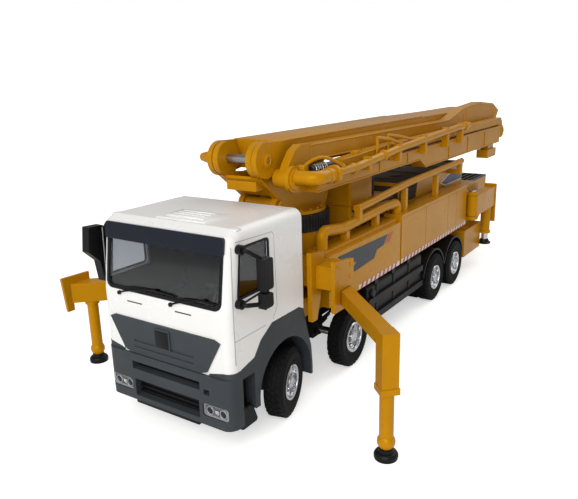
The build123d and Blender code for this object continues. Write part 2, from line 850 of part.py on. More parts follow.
# Hood over the pump, between the side panels and on over the rear body
hood_x = (ahead(-262.0), ahead(-146.0))
hood_half = 22.0
hood_top = 82.0

with BuildPart() as hood:
    block((deck_rear, hood_x[1]), (-hood_half, hood_half), (deck_top, hood_top))
    block((hood_x[0], deck_rear), (-hood_half, hood_half), (rear_body_top, hood_top))
    fillet(hood.edges().filter_by(Axis.X).group_by(Axis.Z)[-1], 2.0)
finish(hood, "hood")

# Control block on the deck behind the turret: a broad base and a narrower top
control_base = ((ahead(-138.0), ahead(-87.0)), (-20.0, 20.0), (deck_top, 78.0))
control_top = ((ahead(-118.0), ahead(-91.0)), (-12.0, 18.0), (control_base[2][1], 91.0))

with BuildPart() as control_block:
    block(*control_base)
    block(*control_top)
    fillet(control_block.edges().filter_by(Axis.Z), 1.5)
finish(control_block, "control_block")

# Delivery pipe on posts over the left panels, and a thick hose along the top of the front one
pipe_radius = 2.0
hose_radius = 2.7
pipe_y = 31.0
hose_y = 29.8
pipe_points = [
    (ahead(-74.0), pipe_y, 81.0),
    (ahead(-84.0), pipe_y, 81.2),
    (ahead(-143.0), pipe_y, 84.4),
    (ahead(-234.0), pipe_y, 85.8),
]
post_places = [(ahead(-76.0), 74.0), (ahead(-134.0), rear_panel_top), (ahead(-184.0), rear_panel_top)]
hose_points = [
    (ahead(-41.0), hose_y, panel_top),
    (ahead(-41.0), hose_y, 76.0),
    (ahead(-62.0), hose_y, 73.3),
    (ahead(-108.0), hose_y, 75.3),
    (ahead(-126.0), hose_y, 74.6),
    (ahead(-126.0), hose_y, rear_panel_top),
]
hose_posts = [ahead(-64.0), ahead(-98.0)]

with BuildPart() as deck_pipes:
    tube(pipe_points, pipe_radius, 3.0)
    for x, z in post_places:
        block((x - 1.5, x + 1.5), (pipe_y - 1.6, pipe_y + 1.6), (z, 82.0))
    block((ahead(-232.0), ahead(-228.0)), (hood_half, pipe_y + 1.6), (77.0, 80.0))
    block((ahead(-232.0), ahead(-228.0)), (pipe_y - 1.6, pipe_y + 1.6), (77.0, 85.0))
    tube(hose_points, hose_radius, 3.4)
    for x in hose_posts:
        block((x - 1.6, x + 1.6), (hose_y - 1.8, hose_y + 1.8), (panel_top, 73.0))
finish(deck_pipes, "deck_pipes")


# Front outrigger arms with their legs. A leg is bored for its jack
jack_radius = 2.9
leg_bore = jack_radius + running_gap
left_leg_z = (29.0, left_arm_z[1])
left_bore_top = 51.0
leg_width = 7.0
leg_flange = 7.8
leg_flange_height = 2.6
right_collar_z = (33.6, right_arm_z[0])
right_collar_radius = 3.7
right_bore_top = 45.4
leg_reach = leg_flange / 2 * (sin(radians(arm_yaw)) + cos(radians(arm_yaw)))
right_plate_thickness = 1.6
right_plate_y = (-leg_y - leg_reach, right_plate_thickness - leg_y - leg_reach)
right_plate = [
    (ahead(2.0), right_arm_z[0]),
    (ahead(2.0), 49.8),
    (ahead(19.2), 50.2),
    (ahead(17.4), 31.6),
    (ahead(13.4), 31.6),
    (ahead(13.4), right_arm_z[0]),
]


def add_arm(side, z, y1, y2):
    """Straight arm in the part being built, between two distances from the vehicle's middle."""
    with BuildSketch(arm_plane(side, (z[0] + z[1]) / 2, y1)) as section:
        Rectangle(z[1] - z[0], arm_widths[side])
    extrude(section.sketch, amount=arm_length(y1, y2))


with BuildPart() as arm_front_left:
    add_arm(1, left_arm_z, arm_inner_y, leg_y)
    leg_plane = Plane(
        origin=(leg_x, leg_y, left_leg_z[0]),
        x_dir=(cos(radians(arm_yaw)), sin(radians(arm_yaw)), 0),
        z_dir=(0, 0, 1),
    )
    for width, height in ((leg_width, left_leg_z[1] - left_leg_z[0]), (leg_flange, leg_flange_height)):
        with BuildSketch(leg_plane) as leg:
            Rectangle(width, width)
        extrude(leg.sketch, amount=height)
    ring(leg_plane, leg_bore, None, left_bore_top - left_leg_z[0], Mode.SUBTRACT)
finish(arm_front_left, "arm_front_left")

with BuildPart() as arm_front_right:
    add_arm(-1, right_arm_z, arm_inner_y, leg_y + 8.0)
    arm_end = (ahead(-10.0), ahead(30.0))
    block(arm_end, (right_plate_y[0] - 12.0, right_plate_y[1]), (30.0, 60.0), Mode.SUBTRACT)
    plate(right_plate, right_plate_y)
    collar_plane = Plane(origin=(leg_x, -leg_y, right_collar_z[0]))
    ring(collar_plane, right_collar_radius, None, right_arm_z[1] - right_collar_z[0])
    block(arm_end, (right_plate_y[0] - 12.0, right_plate_y[0]), (30.0, 60.0), Mode.SUBTRACT)
    ring(collar_plane, leg_bore, None, right_bore_top - right_collar_z[0], Mode.SUBTRACT)
finish(arm_front_right, "arm_front_right")

# Rear outrigger arms, folded back along the rear body, with an end plate and a leg
rear_arm_y = (34.0, 42.0)
rear_arm_end = ahead(-284.5)
rear_plate_x = (ahead(-286.0), ahead(-284.5))
rear_plate_y = (33.4, 42.6)
rear_plate_z = (32.0, 62.0)
rear_leg_x = ahead(-276.0)
rear_leg_y = 38.0
rear_leg_radius = 3.6
rear_leg_bottom = 25.0
rear_jack_radius = 2.6
rear_bore_top = 58.0

for name, side in (("left", 1), ("right", -1)):
    with BuildPart() as rear_arm:
        arm_y = sorted((side * rear_arm_y[0], side * rear_arm_y[1]))
        plate_y = sorted((side * rear_plate_y[0], side * rear_plate_y[1]))
        block((rear_arm_end, rear_hinge_x), arm_y, rear_arm_z)
        block(rear_plate_x, plate_y, rear_plate_z)
        eye_plane = Plane(origin=(rear_hinge_x, side * rear_hinge_y, rear_arm_z[0]))
        rear_leg_plane = Plane(origin=(rear_leg_x, side * rear_leg_y, rear_leg_bottom))
        ring(eye_plane, (rear_arm_y[1] - rear_arm_y[0]) / 2, None, rear_arm_z[1] - rear_arm_z[0])
        ring(rear_leg_plane, rear_leg_radius, None, rear_arm_z[0] - rear_leg_bottom)
        ring(eye_plane, rear_pin_radius + running_gap, None, rear_arm_z[1] - rear_arm_z[0], Mode.SUBTRACT)
        rear_bore = rear_jack_radius + running_gap
        ring(rear_leg_plane, rear_bore, None, rear_bore_top - rear_leg_bottom, Mode.SUBTRACT)
    finish(rear_arm, f"arm_rear_{name}")

# Jacks and their feet. The front jacks stand on the ground, the rear ones are drawn up
ball_radius = 3.7
ball_height = 7.4
ball_flat = 4.4
foot_plate = 3.0
foot_neck = 3.8
foot_round = 1.2
rear_foot_bottom = 15.8
rear_foot_top = 19.6
rear_jack_top = 55.0

for name, y, top in (("left", leg_y, 34.0), ("right", -leg_y, 39.6)):
    with BuildPart() as jack:
        with Locations((leg_x, y, ball_height)):
            Sphere(ball_radius)
        block((leg_x - 5.0, leg_x + 5.0), (y - 5.0, y + 5.0), (0.0, ball_flat), Mode.SUBTRACT)
        ring(Plane(origin=(leg_x, y, ball_height)), jack_radius, None, top - ball_height)
    finish(jack, f"jack_front_{name}")
    with BuildPart() as foot:
        ring(Plane(origin=(leg_x, y, 0)), foot_radius, None, foot_plate)
        fillet(foot.edges().filter_by(GeomType.CIRCLE).group_by(Axis.Z)[-1], foot_round)
        with BuildSketch(Plane(origin=(leg_x, y, foot_plate))) as cup:
            Circle(foot_neck - foot_round / 2)
        extrude(cup.sketch, amount=ball_flat - foot_plate, taper=10)
    finish(foot, f"foot_front_{name}")

for name, side in (("left", 1), ("right", -1)):
    with BuildPart() as jack:
        jack_plane = Plane(origin=(rear_leg_x, side * rear_leg_y, rear_foot_top))
        ring(jack_plane, rear_jack_radius, None, rear_jack_top - rear_foot_top)
    finish(jack, f"jack_rear_{name}")
    with BuildPart() as foot:
        with BuildSketch(Plane(origin=(rear_leg_x, side * rear_leg_y, rear_foot_bottom))) as cone:
            Circle(4.6)
        extrude(cone.sketch, amount=rear_foot_top - rear_foot_bottom, taper=24)
    finish(foot, f"foot_rear_{name}")


# Turret: a disc with a spigot in the slew ring and two cheeks that carry the boom's pin,
# with a wall between them in front
flange_radius = 19.0
flange_z = (ring_top + play, 83.0)
cheek_y = (8.0, 11.0)
cheek_outline = [
    (ahead(-16.0), 104.0),
    (ahead(-33.0), 91.0),
    (ahead(-40.0), 82.0),
    (ahead(-76.0), 82.0),
    (ahead(-80.0), 92.0),
    (ahead(-60.0), 102.0),
    (ahead(-34.0), 103.5),
    (ahead(-25.1), 104.7),
]
cheek_disc = 8.0
bracket_x = (ahead(-28.0), ahead(-19.0))
bracket_y = cheek_y[0] + 0.5
bracket_z = (97.0, 101.5)
front_wall = [
    (ahead(-30.2), 93.15),
    (ahead(-17.6), 102.8),
    (ahead(-18.5), 103.9),
    (ahead(-31.1), 94.25),
]
luff_base = (ahead(-34.0), 88.0)
luff_base_pin = 1.6
luff_base_boss = 4.2

with BuildPart() as turret:
    ring(Plane(origin=(ring_x, 0, flange_z[0])), flange_radius, None, flange_z[1] - flange_z[0])
    ring(Plane(origin=(ring_x, 0, ring_bottom + play)), spigot_radius, None, flange_z[0] - ring_bottom - play)
    for y in both_sides(*cheek_y):
        plate(cheek_outline, y)
        bar(pin_a, cheek_disc, y)
        bar(luff_base, luff_base_boss, y)
    block(bracket_x, (-bracket_y, bracket_y), bracket_z)
    plate(front_wall, (-bracket_y, bracket_y))
    bar(pin_a, pin_radius + running_gap, (-cheek_y[1], cheek_y[1]), Mode.SUBTRACT)
    bar(luff_base, luff_base_pin + running_gap, (-cheek_y[1], cheek_y[1]), Mode.SUBTRACT)
finish(turret, "turret")

# Luffing cylinder: a barrel pinned between the cheeks and a rod that reaches the boom's lugs
rod_eye = (ahead(-80.5), 101.6)
barrel_radius = 3.3
rod_radius = 1.9
rod_eye_radius = 2.6
rod_eye_half = 2.4
luff_length = hypot(rod_eye[0] - luff_base[0], rod_eye[1] - luff_base[1])
luff_plane = Plane(
    origin=(luff_base[0], 0, luff_base[1]),
    x_dir=(0, 1, 0),
    z_dir=(rod_eye[0] - luff_base[0], 0, rod_eye[1] - luff_base[1]),
)
barrel_end = luff_length - 5.6
barrel_bore_start = 3.6
rod_start = 4.2

with BuildPart() as luff_barrel:
    ring(luff_plane, barrel_radius, None, barrel_end)
    bar(luff_base, barrel_radius, (play - cheek_y[0], cheek_y[0] - play))
    bar(luff_base, luff_base_pin, (-cheek_y[1] - 0.6, cheek_y[1] + 0.6))
    ring(luff_plane.offset(barrel_bore_start), rod_radius + running_gap, None, barrel_end, Mode.SUBTRACT)
finish(luff_barrel, "luff_barrel")

with BuildPart() as luff_rod:
    ring(luff_plane.offset(rod_start), rod_radius, None, luff_length - rod_start)
    bar(rod_eye, rod_eye_radius, (-rod_eye_half, rod_eye_half))
finish(luff_rod, "luff_rod")

# First boom section, over the middle, with root plates on the pin and lugs for the rod
boom_1_outline = [
    (ahead(-32.0), 105.5),
    (ahead(-32.0), 118.8),
    (ahead(-200.0), 118.8),
    (boom_rear + 18.0, 117.5),
    (boom_rear + 18.0, 105.5),
]
root_plate = [(pin_a[0], 103.2), (ahead(-36.0), 105.5), (ahead(-36.0), 118.8), (pin_a[0], 119.4)]
root_plate_y = (11.4, boom_1_half)
root_disc = 8.2
lug_y = (rod_eye_half + 0.6, 5.6)
lug_radius = 3.2
pin_boss_y = 14.5
nub_y = (-24.0, -14.0)

with BuildPart() as boom_1:
    plate(boom_1_outline, (-boom_1_half, boom_1_half))
    bar(pin_c, 5.5, (-boom_1_half, boom_1_half))
    for y in both_sides(*root_plate_y):
        plate(root_plate, y)
        bar(pin_a, root_disc, y)
    for y in both_sides(*lug_y):
        bar(rod_eye, lug_radius, y)
        plate(
            [
                (rod_eye[0] - lug_radius, rod_eye[1]),
                (rod_eye[0] + lug_radius, rod_eye[1]),
                (rod_eye[0] + lug_radius + 2.0, 105.5),
                (rod_eye[0] - lug_radius - 2.0, 105.5),
            ],
            y,
        )
    bar(pin_a, pin_radius, (-boom_1_half, pin_boss_y))
    bar(pin_a, 3.7, (boom_1_half, pin_boss_y))
    with BuildSketch(across(nub_y[1])) as nub:
        with Locations(pin_a):
            Circle(4.4)
    extrude(nub.sketch, amount=nub_y[1] - nub_y[0], taper=14)
    bar(pin_c, pin_radius, (boom_1_half, boom_2_y[1]))
finish(boom_1, "boom_1")

# Delivery pipe along the first section's right side, with its clamps
side_pipe_y = -17.0
side_pipe_z = 109.0
side_pipe_radius = 2.1
clamp_y = (-19.6, -boom_1_half)
clamp_places = [ahead(-60.0), ahead(-118.0), ahead(-176.0), ahead(-234.0), ahead(-292.0)]

with BuildPart() as boom_1_pipe:
    side_pipe_ends = [(x, side_pipe_y, side_pipe_z) for x in (ahead(-44.0), boom_rear + 26.0)]
    tube(side_pipe_ends, side_pipe_radius, 0)
    for x in clamp_places:
        block((x - 1.5, x + 1.5), clamp_y, (side_pipe_z - 2.6, side_pipe_z + 2.6))
finish(boom_1_pipe, "boom_1_pipe")

# Second section, beside the first, with a neck down to its front pin and a hump at the rear
boom_2_outline = [
    (ahead(-46.0), 108.5),
    (ahead(-46.0), 116.4),
    (boom_rear + 127.0, 114.6),
    (boom_rear + 120.0, 114.9),
    (boom_rear + 90.0, 121.5),
    (boom_rear + 52.0, 123.8),
    (boom_rear + 17.0, 121.0),
    (boom_rear, 114.5),
    (boom_rear + 6.0, 108.6),
    (boom_rear + 22.0, 106.0),
    (ahead(-200.0), 106.4),
]
neck_outline = [
    (ahead(-58.0), 108.6),
    (ahead(-58.0), 116.2),
    (ahead(-46.0), 116.8),
    (ahead(-37.4), 117.0),
    (ahead(-32.4), 114.6),
    (ahead(-27.4), 109.0),
    (ahead(-23.8), 103.6),
    (ahead(-32.0), 100.2),
    (ahead(-36.0), 105.6),
    (ahead(-42.0), 108.6),
]
neck_y = (17.0, 21.4)
neck_disc = 4.6

with BuildPart() as boom_2:
    plate(boom_2_outline, boom_2_y)
    plate(neck_outline, neck_y)
    bar(pin_b, neck_disc, neck_y)
    bar(pin_b, pin_radius + running_gap, neck_y, Mode.SUBTRACT)
    bar(pin_c, pin_radius + running_gap, boom_2_y, Mode.SUBTRACT)
finish(boom_2, "boom_2")

# Third section, outside the second, with the front pin, a rear fork and a low block
boom_3_outline = [
    (ahead(-36.0), 95.6),
    (ahead(-36.0), 103.0),
    (boom_rear + 26.0, 103.0),
    (boom_rear + 26.0, 90.0),
    (ahead(-166.0), 90.0),
    (ahead(-158.0), 95.6),
]
front_disc = 6.1
front_plate = [
    (pin_b[0], pin_b[1] - front_disc),
    (ahead(-40.0), 95.6),
    (ahead(-40.0), 103.0),
    (pin_b[0], pin_b[1] + front_disc),
]
front_plate_y = (boom_3_y[0], boom_3_y[0] + 2.2)
fork_plate_y = ((boom_3_y[0], boom_3_y[0] + 1.5), (boom_3_y[1] - 1.0, boom_3_y[1]))
fork_plate = [(boom_rear + 28.0, 93.5), (boom_rear + 28.0, 103.0), (pin_d[0], 103.0), (pin_d[0], 93.5)]
fork_disc = 4.75
low_block_x = (boom_rear + 34.0, boom_rear + 56.0)
low_block_z = (80.0, 86.4)
low_hanger_x = (boom_rear + 37.0, boom_rear + 51.0)
pin_b_head = 4.2
pin_b_head_y = (14.3, neck_y[0] - play)

with BuildPart() as boom_3:
    plate(boom_3_outline, boom_3_y)
    plate(front_plate, front_plate_y)
    bar(pin_b, front_disc, front_plate_y)
    for y in fork_plate_y:
        plate(fork_plate, y)
        bar(pin_d, fork_disc, y)
    block(low_block_x, boom_3_y, low_block_z)
    block(low_hanger_x, (boom_3_y[0] + 1.5, boom_3_y[1] - 1.5), (low_block_z[1], 90.0))
    bar(pin_b, pin_radius, (pin_b_head_y[0], boom_3_y[0]))
    bar(pin_b, pin_b_head, pin_b_head_y)
    bar(pin_d, pin_radius, boom_3_y)
finish(boom_3, "boom_3")

# Pipe on the third section's outer side: an elbow from the front plate, a thick stretch with a
# flange, and a thinner run on clamps to its free end
outer_pipe_y = 33.6
reducer_y = 35.5
reducer_z = 103.4
reducer_radius = 3.3
reducer_x = (ahead(-44.0), pin_b[0])
outer_run = [(ahead(-70.0), 103.2), (ahead(-119.0), 107.0), (ahead(-213.0), 110.8), (ahead(-238.0), 110.8)]
outer_clamps = [ahead(-82.0), ahead(-119.0), ahead(-156.0), ahead(-194.0), ahead(-222.0)]
free_end = (ahead(-238.0), ahead(-230.0))

with BuildPart() as boom_3_pipe:
    elbow = [(x, y, reducer_z) for x, y in (
        (reducer_x[1], front_plate_y[1]),
        (reducer_x[1], reducer_y),
        (reducer_x[0], reducer_y),
    )]
    tube(elbow, reducer_radius, reducer_radius + 1.0)
    reducer_plane = Plane(origin=elbow[-1], z_dir=(1, 0, 0))
    ring(reducer_plane, reducer_radius + 1.0, None, 2.0)
    outer_path = [(reducer_x[0] + 1.0, reducer_y, reducer_z)] + [(x, outer_pipe_y, z) for x, z in outer_run]
    tube(outer_path, side_pipe_radius, 6.0)
    ring(Plane(origin=(free_end[1], outer_pipe_y, outer_run[-1][1]), z_dir=(1, 0, 0)), 3.0, None, 2.0)
    block((reducer_x[0], ahead(-38.0)), (boom_3_y[1], reducer_y), (100.0, 102.8))
    for x in outer_clamps:
        rear, front = next((a, b) for a, b in zip(outer_run[1:], outer_run) if x >= a[0])
        height = rear[1] + (front[1] - rear[1]) * (x - rear[0]) / (front[0] - rear[0])
        block((x - 1.5, x + 1.5), (boom_3_y[1], outer_pipe_y + 1.4), (100.0, height + 2.6))
finish(boom_3_pipe, "boom_3_pipe")

# Fourth section, folded back over the third
boom_4_outline = [
    (ahead(-62.0), 104.2),
    (ahead(-62.0), 107.6),
    (ahead(-110.0), 109.5),
    (boom_rear + 19.0, 109.5),
    (boom_rear + 14.4, 105.0),
    (pin_d[0] - 4.4, pin_d[1]),
    (pin_d[0] + 4.4, pin_d[1]),
    (boom_rear + 26.0, 104.2),
]
boom_4_y = (24.0, 29.6)
boom_4_eye = 4.4

with BuildPart() as boom_4:
    plate(boom_4_outline, boom_4_y)
    bar(pin_d, boom_4_eye, boom_4_y)
    bar(pin_d, pin_radius + running_gap, boom_4_y, Mode.SUBTRACT)
finish(boom_4, "boom_4")
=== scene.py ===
"""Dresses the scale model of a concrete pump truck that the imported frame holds.

Places are (ahead, y, z) in millimetres: the distance ahead of the first axle, the distance to
the left of the middle and the height. Blender's own units are metres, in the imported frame.
"""
import json
import logging
import math
from dataclasses import dataclass
from enum import Enum
from typing import Iterable, Optional, Sequence

import bpy
from mathutils import Matrix, Vector


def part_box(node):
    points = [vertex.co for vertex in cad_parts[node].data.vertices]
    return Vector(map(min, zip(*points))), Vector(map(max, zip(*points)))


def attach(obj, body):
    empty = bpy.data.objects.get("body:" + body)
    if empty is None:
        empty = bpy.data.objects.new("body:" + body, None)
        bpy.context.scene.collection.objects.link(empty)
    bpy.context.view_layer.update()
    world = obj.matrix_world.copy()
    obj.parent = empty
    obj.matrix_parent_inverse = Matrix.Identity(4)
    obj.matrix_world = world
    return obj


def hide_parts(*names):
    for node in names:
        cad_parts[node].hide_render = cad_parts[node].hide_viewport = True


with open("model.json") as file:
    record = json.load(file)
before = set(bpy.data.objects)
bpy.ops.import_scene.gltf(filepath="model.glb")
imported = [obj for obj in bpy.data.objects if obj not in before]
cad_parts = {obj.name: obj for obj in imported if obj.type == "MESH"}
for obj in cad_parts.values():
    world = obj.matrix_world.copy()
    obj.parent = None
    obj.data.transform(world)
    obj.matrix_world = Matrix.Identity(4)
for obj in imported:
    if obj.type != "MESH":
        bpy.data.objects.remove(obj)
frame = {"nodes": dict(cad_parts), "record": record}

Pair = tuple[float, float]
Place = tuple[float, float, float]
Outline = Sequence[Pair]
Tone = tuple[float, float, float]
Piece = bpy.types.Object

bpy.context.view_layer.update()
MM = 0.001
BUMPER_REACH = 38.4
FIRST_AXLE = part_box("bumper")[1][0] / MM - BUMPER_REACH
AXLE_HEIGHT = 15.8
NEW_PIECE_CREASE = 35.0
PACKED_CREASE = 30.0
REAR_AXLES = (-61.5, -175.5, -213.0)
SIDE_Y = 35.6
FORWARD = Vector((1, 0, 0))
LEFTWARD = Vector((0, 1, 0))
UP = Vector((0, 0, 1))
log = logging.getLogger("pump_truck")


class Side(Enum):
    """The two sides of the truck, as the sign of Y."""

    LEFT = 1
    RIGHT = -1

    @property
    def label(self) -> str:
        """The side's name as it stands in the names of pieces."""
        return self.name.lower()

    @property
    def out(self) -> Vector:
        """Direction away from the middle."""
        return Vector((0, self.value, 0))

    def place(self, ahead: float, y: float, z: float) -> Place:
        """A place of the left side, put on this side."""
        return ahead, y * self.value, z


class Body(str, Enum):
    """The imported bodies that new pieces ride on."""

    TRUCK = "truck"
    TURRET = "turret"
    FIRST = "boom_section_1"
    SECOND = "boom_section_2"
    THIRD = "boom_section_3"
    FOURTH = "boom_section_4"


def at(ahead: float, y: float, z: float) -> Vector:
    """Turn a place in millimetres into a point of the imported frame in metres."""
    return Vector((FIRST_AXLE + ahead, y, z)) * MM


def oblong(start: float, end: float, low: float, high: float) -> list[Pair]:
    """Corners of a rectangle between two distances and two heights."""
    return [(start, low), (start, high), (end, high), (end, low)]


def arc(middle: Pair, radius: float, turns: Iterable[float]) -> list[Pair]:
    """Points on a circle at these turns, in radians."""
    return [(middle[0] + radius * math.cos(turn), middle[1] + radius * math.sin(turn)) for turn in turns]


def rounded_box(half_width: float, half_height: float, corner: float, steps: int) -> list[Pair]:
    """Outline of a rounded rectangle round the origin.

    Args:
        half_width: half of its width.
        half_height: half of its height.
        corner: radius of its corners.
        steps: steps round each corner.

    Returns:
        The points, in turn.
    """
    points = []
    for quarter, (x, y) in enumerate(((1, 1), (-1, 1), (-1, -1), (1, -1))):
        middle = (x * (half_width - corner), y * (half_height - corner))
        points += arc(middle, corner, (math.pi / 2 * (quarter + n / steps) for n in range(steps + 1)))
    return points


def grown(outline: Outline, by: float) -> list[Pair]:
    """Push an outline's corners away from its middle."""
    middle = [sum(axis) / len(outline) for axis in zip(*outline)]
    return [tuple(c + math.copysign(by, c - m) for c, m in zip(corner, middle)) for corner in outline]


def softened(outline: Outline, radius: float, steps: int = 5) -> list[Pair]:
    """Round an outline's corners with a curve that starts this far from each corner.

    Args:
        outline: the corners, in turn.
        radius: how far from a corner its curve starts.
        steps: steps along each curve.

    Returns:
        The points, in turn.
    """
    points = []
    for n, corner in enumerate(outline):
        middle = Vector(corner)
        before, after = (Vector(outline[(n + turn) % len(outline)]) for turn in (-1, 1))
        start = middle + (before - middle).normalized() * radius
        end = middle + (after - middle).normalized() * radius
        for share in (step / steps for step in range(steps + 1)):
            points.append(tuple(start * (1 - share) ** 2 + middle * 2 * share * (1 - share) + end * share ** 2))
    return points


class Bench:
    """Models parts with Blender's own operators, in millimetres, the way they are made by hand."""

    @staticmethod
    def clear() -> None:
        """Leave edit mode and deselect everything."""
        if bpy.context.mode != "OBJECT":
            bpy.ops.object.mode_set(mode="OBJECT")
        bpy.ops.object.select_all(action="DESELECT")

    @staticmethod
    def only(piece: Piece) -> None:
        """Select one object and make it active.

        Args:
            piece: the object.
        """
        Bench.clear()
        piece.select_set(True)
        bpy.context.view_layer.objects.active = piece

    @staticmethod
    def settle(piece: Piece) -> Piece:
        """Put an object's place, turn and scale into its mesh.

        Args:
            piece: the object.

        Returns:
            The same object.
        """
        Bench.only(piece)
        bpy.ops.object.transform_apply(location=True, rotation=True, scale=True)
        return piece

    @staticmethod
    def edit(select: str) -> None:
        """Enter edit mode with everything selected, in this select mode.

        Args:
            select: VERT, EDGE or FACE.
        """
        bpy.ops.object.mode_set(mode="EDIT")
        bpy.ops.mesh.select_mode(type=select)
        bpy.ops.mesh.select_all(action="SELECT")

    @staticmethod
    def leave() -> None:
        """Turn all faces outwards and leave edit mode."""
        bpy.ops.mesh.select_all(action="SELECT")
        bpy.ops.mesh.normals_make_consistent(inside=False)
        bpy.ops.object.mode_set(mode="OBJECT")

    @staticmethod
    def pull(by: Vector) -> None:
        """Extrude everything by a step in millimetres and leave edit mode.

        Args:
            by: direction and length of the step.
        """
        bpy.ops.mesh.select_all(action="SELECT")
        bpy.ops.mesh.extrude_region_move(TRANSFORM_OT_translate={"value": by * MM})
        Bench.leave()

    @staticmethod
    def loop(points: Iterable[Place], fill: str = "NGON") -> Piece:
        """Closed loop of points, as a circle whose vertices are moved there.

        Args:
            points: the places, in turn.
            fill: fill type of the circle.

        Returns:
            The mesh object.
        """
        points = list(points)
        Bench.clear()
        bpy.ops.mesh.primitive_circle_add(vertices=len(points), radius=1, fill_type=fill)
        piece = bpy.context.object
        for vertex, point in zip(piece.data.vertices, points):
            vertex.co = at(*point)
        return piece

    @staticmethod
    def bevel(piece: Piece, width: float, segments: int) -> Piece:
        """Round all of a piece's edges.

        Args:
            piece: the mesh object.
            width: width of the bevel.
            segments: faces across it.

        Returns:
            The same object.
        """
        Bench.only(piece)
        Bench.edit("FACE")
        bpy.ops.mesh.bevel(offset=width * MM, segments=segments, affect="EDGES", clamp_overlap=True)
        bpy.ops.object.mode_set(mode="OBJECT")
        return piece

    @staticmethod
    def block(corner: Place, opposite: Place, ease: float = 0.3) -> Piece:
        """Rounded box.

        Args:
            corner: any corner.
            opposite: the corner opposite to it.
            ease: radius of its edges.

        Returns:
            The mesh object.
        """
        low, high = (at(*map(pick, corner, opposite)) for pick in (min, max))
        Bench.clear()
        bpy.ops.mesh.primitive_cube_add(size=1, location=(low + high) / 2)
        piece = bpy.context.object
        piece.scale = high - low
        return Bench.bevel(Bench.settle(piece), ease, 2)

    @staticmethod
    def turned(profile: Outline, place: Optional[Place] = None, axis: Vector = UP, steps: int = 24,
               closed: bool = False) -> Piece:
        """Turned piece: a circle, extruded and scaled through a profile.

        Args:
            profile: pairs of radius and height along the axis.
            place: where height 0 lies; the frame's origin if left out.
            axis: direction of the heights.
            steps: points round the circle.
            closed: whether the last ring joins the first, as on a tyre.

        Returns:
            The mesh object.
        """
        radius, height = profile[0]
        Bench.clear()
        bpy.ops.mesh.primitive_circle_add(vertices=steps, radius=radius * MM)
        piece = bpy.context.object
        Bench.edit("VERT")
        bpy.ops.transform.translate(value=(0, 0, height * MM))
        if not closed:
            bpy.ops.mesh.edge_face_add()
        for next_radius, next_height in profile[1:]:
            step = (0, 0, (next_height - height) * MM)
            bpy.ops.mesh.extrude_region_move(TRANSFORM_OT_translate={"value": step})
            factor = next_radius / radius
            bpy.ops.transform.resize(value=(factor, factor, 1), center_override=(0, 0, next_height * MM))
            radius, height = next_radius, next_height
        if closed:
            bpy.ops.mesh.select_all(action="DESELECT")
            bpy.ops.mesh.select_mode(type="EDGE")
            bpy.ops.mesh.select_non_manifold()
            bpy.ops.mesh.bridge_edge_loops()
        Bench.leave()
        piece.rotation_mode = "QUATERNION"
        piece.rotation_quaternion = axis.to_track_quat("Z", "Y")
        piece.location = at(*place) if place else (0, 0, 0)
        return Bench.settle(piece)

    @staticmethod
    def rod(start: Place, end: Place, radius: float, steps: int = 16, chamfer: float = 0.2) -> Piece:
        """Round bar with chamfered ends.

        Args:
            start: middle of one end.
            end: middle of the other end.
            radius: radius of the bar.
            steps: points round the bar.
            chamfer: width of the chamfer at both ends.

        Returns:
            The mesh object.
        """
        along = Vector(end) - Vector(start)
        length = along.length
        chamfer = min(chamfer, radius * 0.4, length * 0.3)
        inner = radius - chamfer
        return Bench.turned([(inner, 0), (radius, chamfer), (radius, length - chamfer), (inner, length)],
                            start, along, steps)

    @staticmethod
    def plate(outline: Outline, y: float, thick: float, ease: float = 0.15) -> Piece:
        """Flat plate in a side view, facing outwards.

        Args:
            outline: corners as distance ahead and height.
            y: Y of its inner face; the plate grows away from the middle.
            thick: its thickness.
            ease: radius of its edges.

        Returns:
            The mesh object.
        """
        piece = Bench.loop((ahead, y, z) for ahead, z in outline)
        Bench.edit("FACE")
        Bench.pull(LEFTWARD * math.copysign(thick, y))
        return Bench.bevel(piece, ease, 1) if ease else piece

    @staticmethod
    def line(points: Sequence[Place], radius: float, smooth: bool = True) -> Piece:
        """Round bar or pipe along points, bent smoothly or with corners.

        Args:
            points: the places that it runs along.
            radius: radius of the bar.
            smooth: whether it bends instead of turning corners.

        Returns:
            The mesh object.
        """
        Bench.clear()
        curve = bpy.data.curves.new("line", "CURVE")
        curve.dimensions = "3D"
        spline = curve.splines.new("NURBS" if smooth else "POLY")
        spline.points.add(len(points) - 1)
        for target, point in zip(spline.points, points):
            target.co = (*at(*point), 1)
        if smooth:
            spline.order_u = 3
            spline.use_endpoint_u = True
            spline.resolution_u = 6
        curve.bevel_depth = radius * MM
        curve.bevel_resolution = 3
        curve.use_fill_caps = True
        piece = bpy.data.objects.new("line", curve)
        bpy.context.collection.objects.link(piece)
        Bench.only(piece)
        bpy.ops.object.convert(target="MESH")
        return bpy.context.object

    @staticmethod
    def trace(run: Outline, y: float, radius: float) -> Piece:
        """Round bar with corners, along distances and heights at one Y."""
        return Bench.line([(ahead, y, z) for ahead, z in run], radius, smooth=False)

    @staticmethod
    def band(points: Iterable[Place], width: float, thick: Vector) -> Piece:
        """Flat closed band inside a loop of points, made by insetting its face.

        Args:
            points: outer edge of the band.
            width: width of the band.
            thick: its thickness and direction.

        Returns:
            The mesh object.
        """
        piece = Bench.loop(points)
        Bench.edit("FACE")
        bpy.ops.mesh.inset(thickness=width * MM)
        bpy.ops.mesh.delete(type="ONLY_FACE")
        Bench.pull(thick)
        return piece

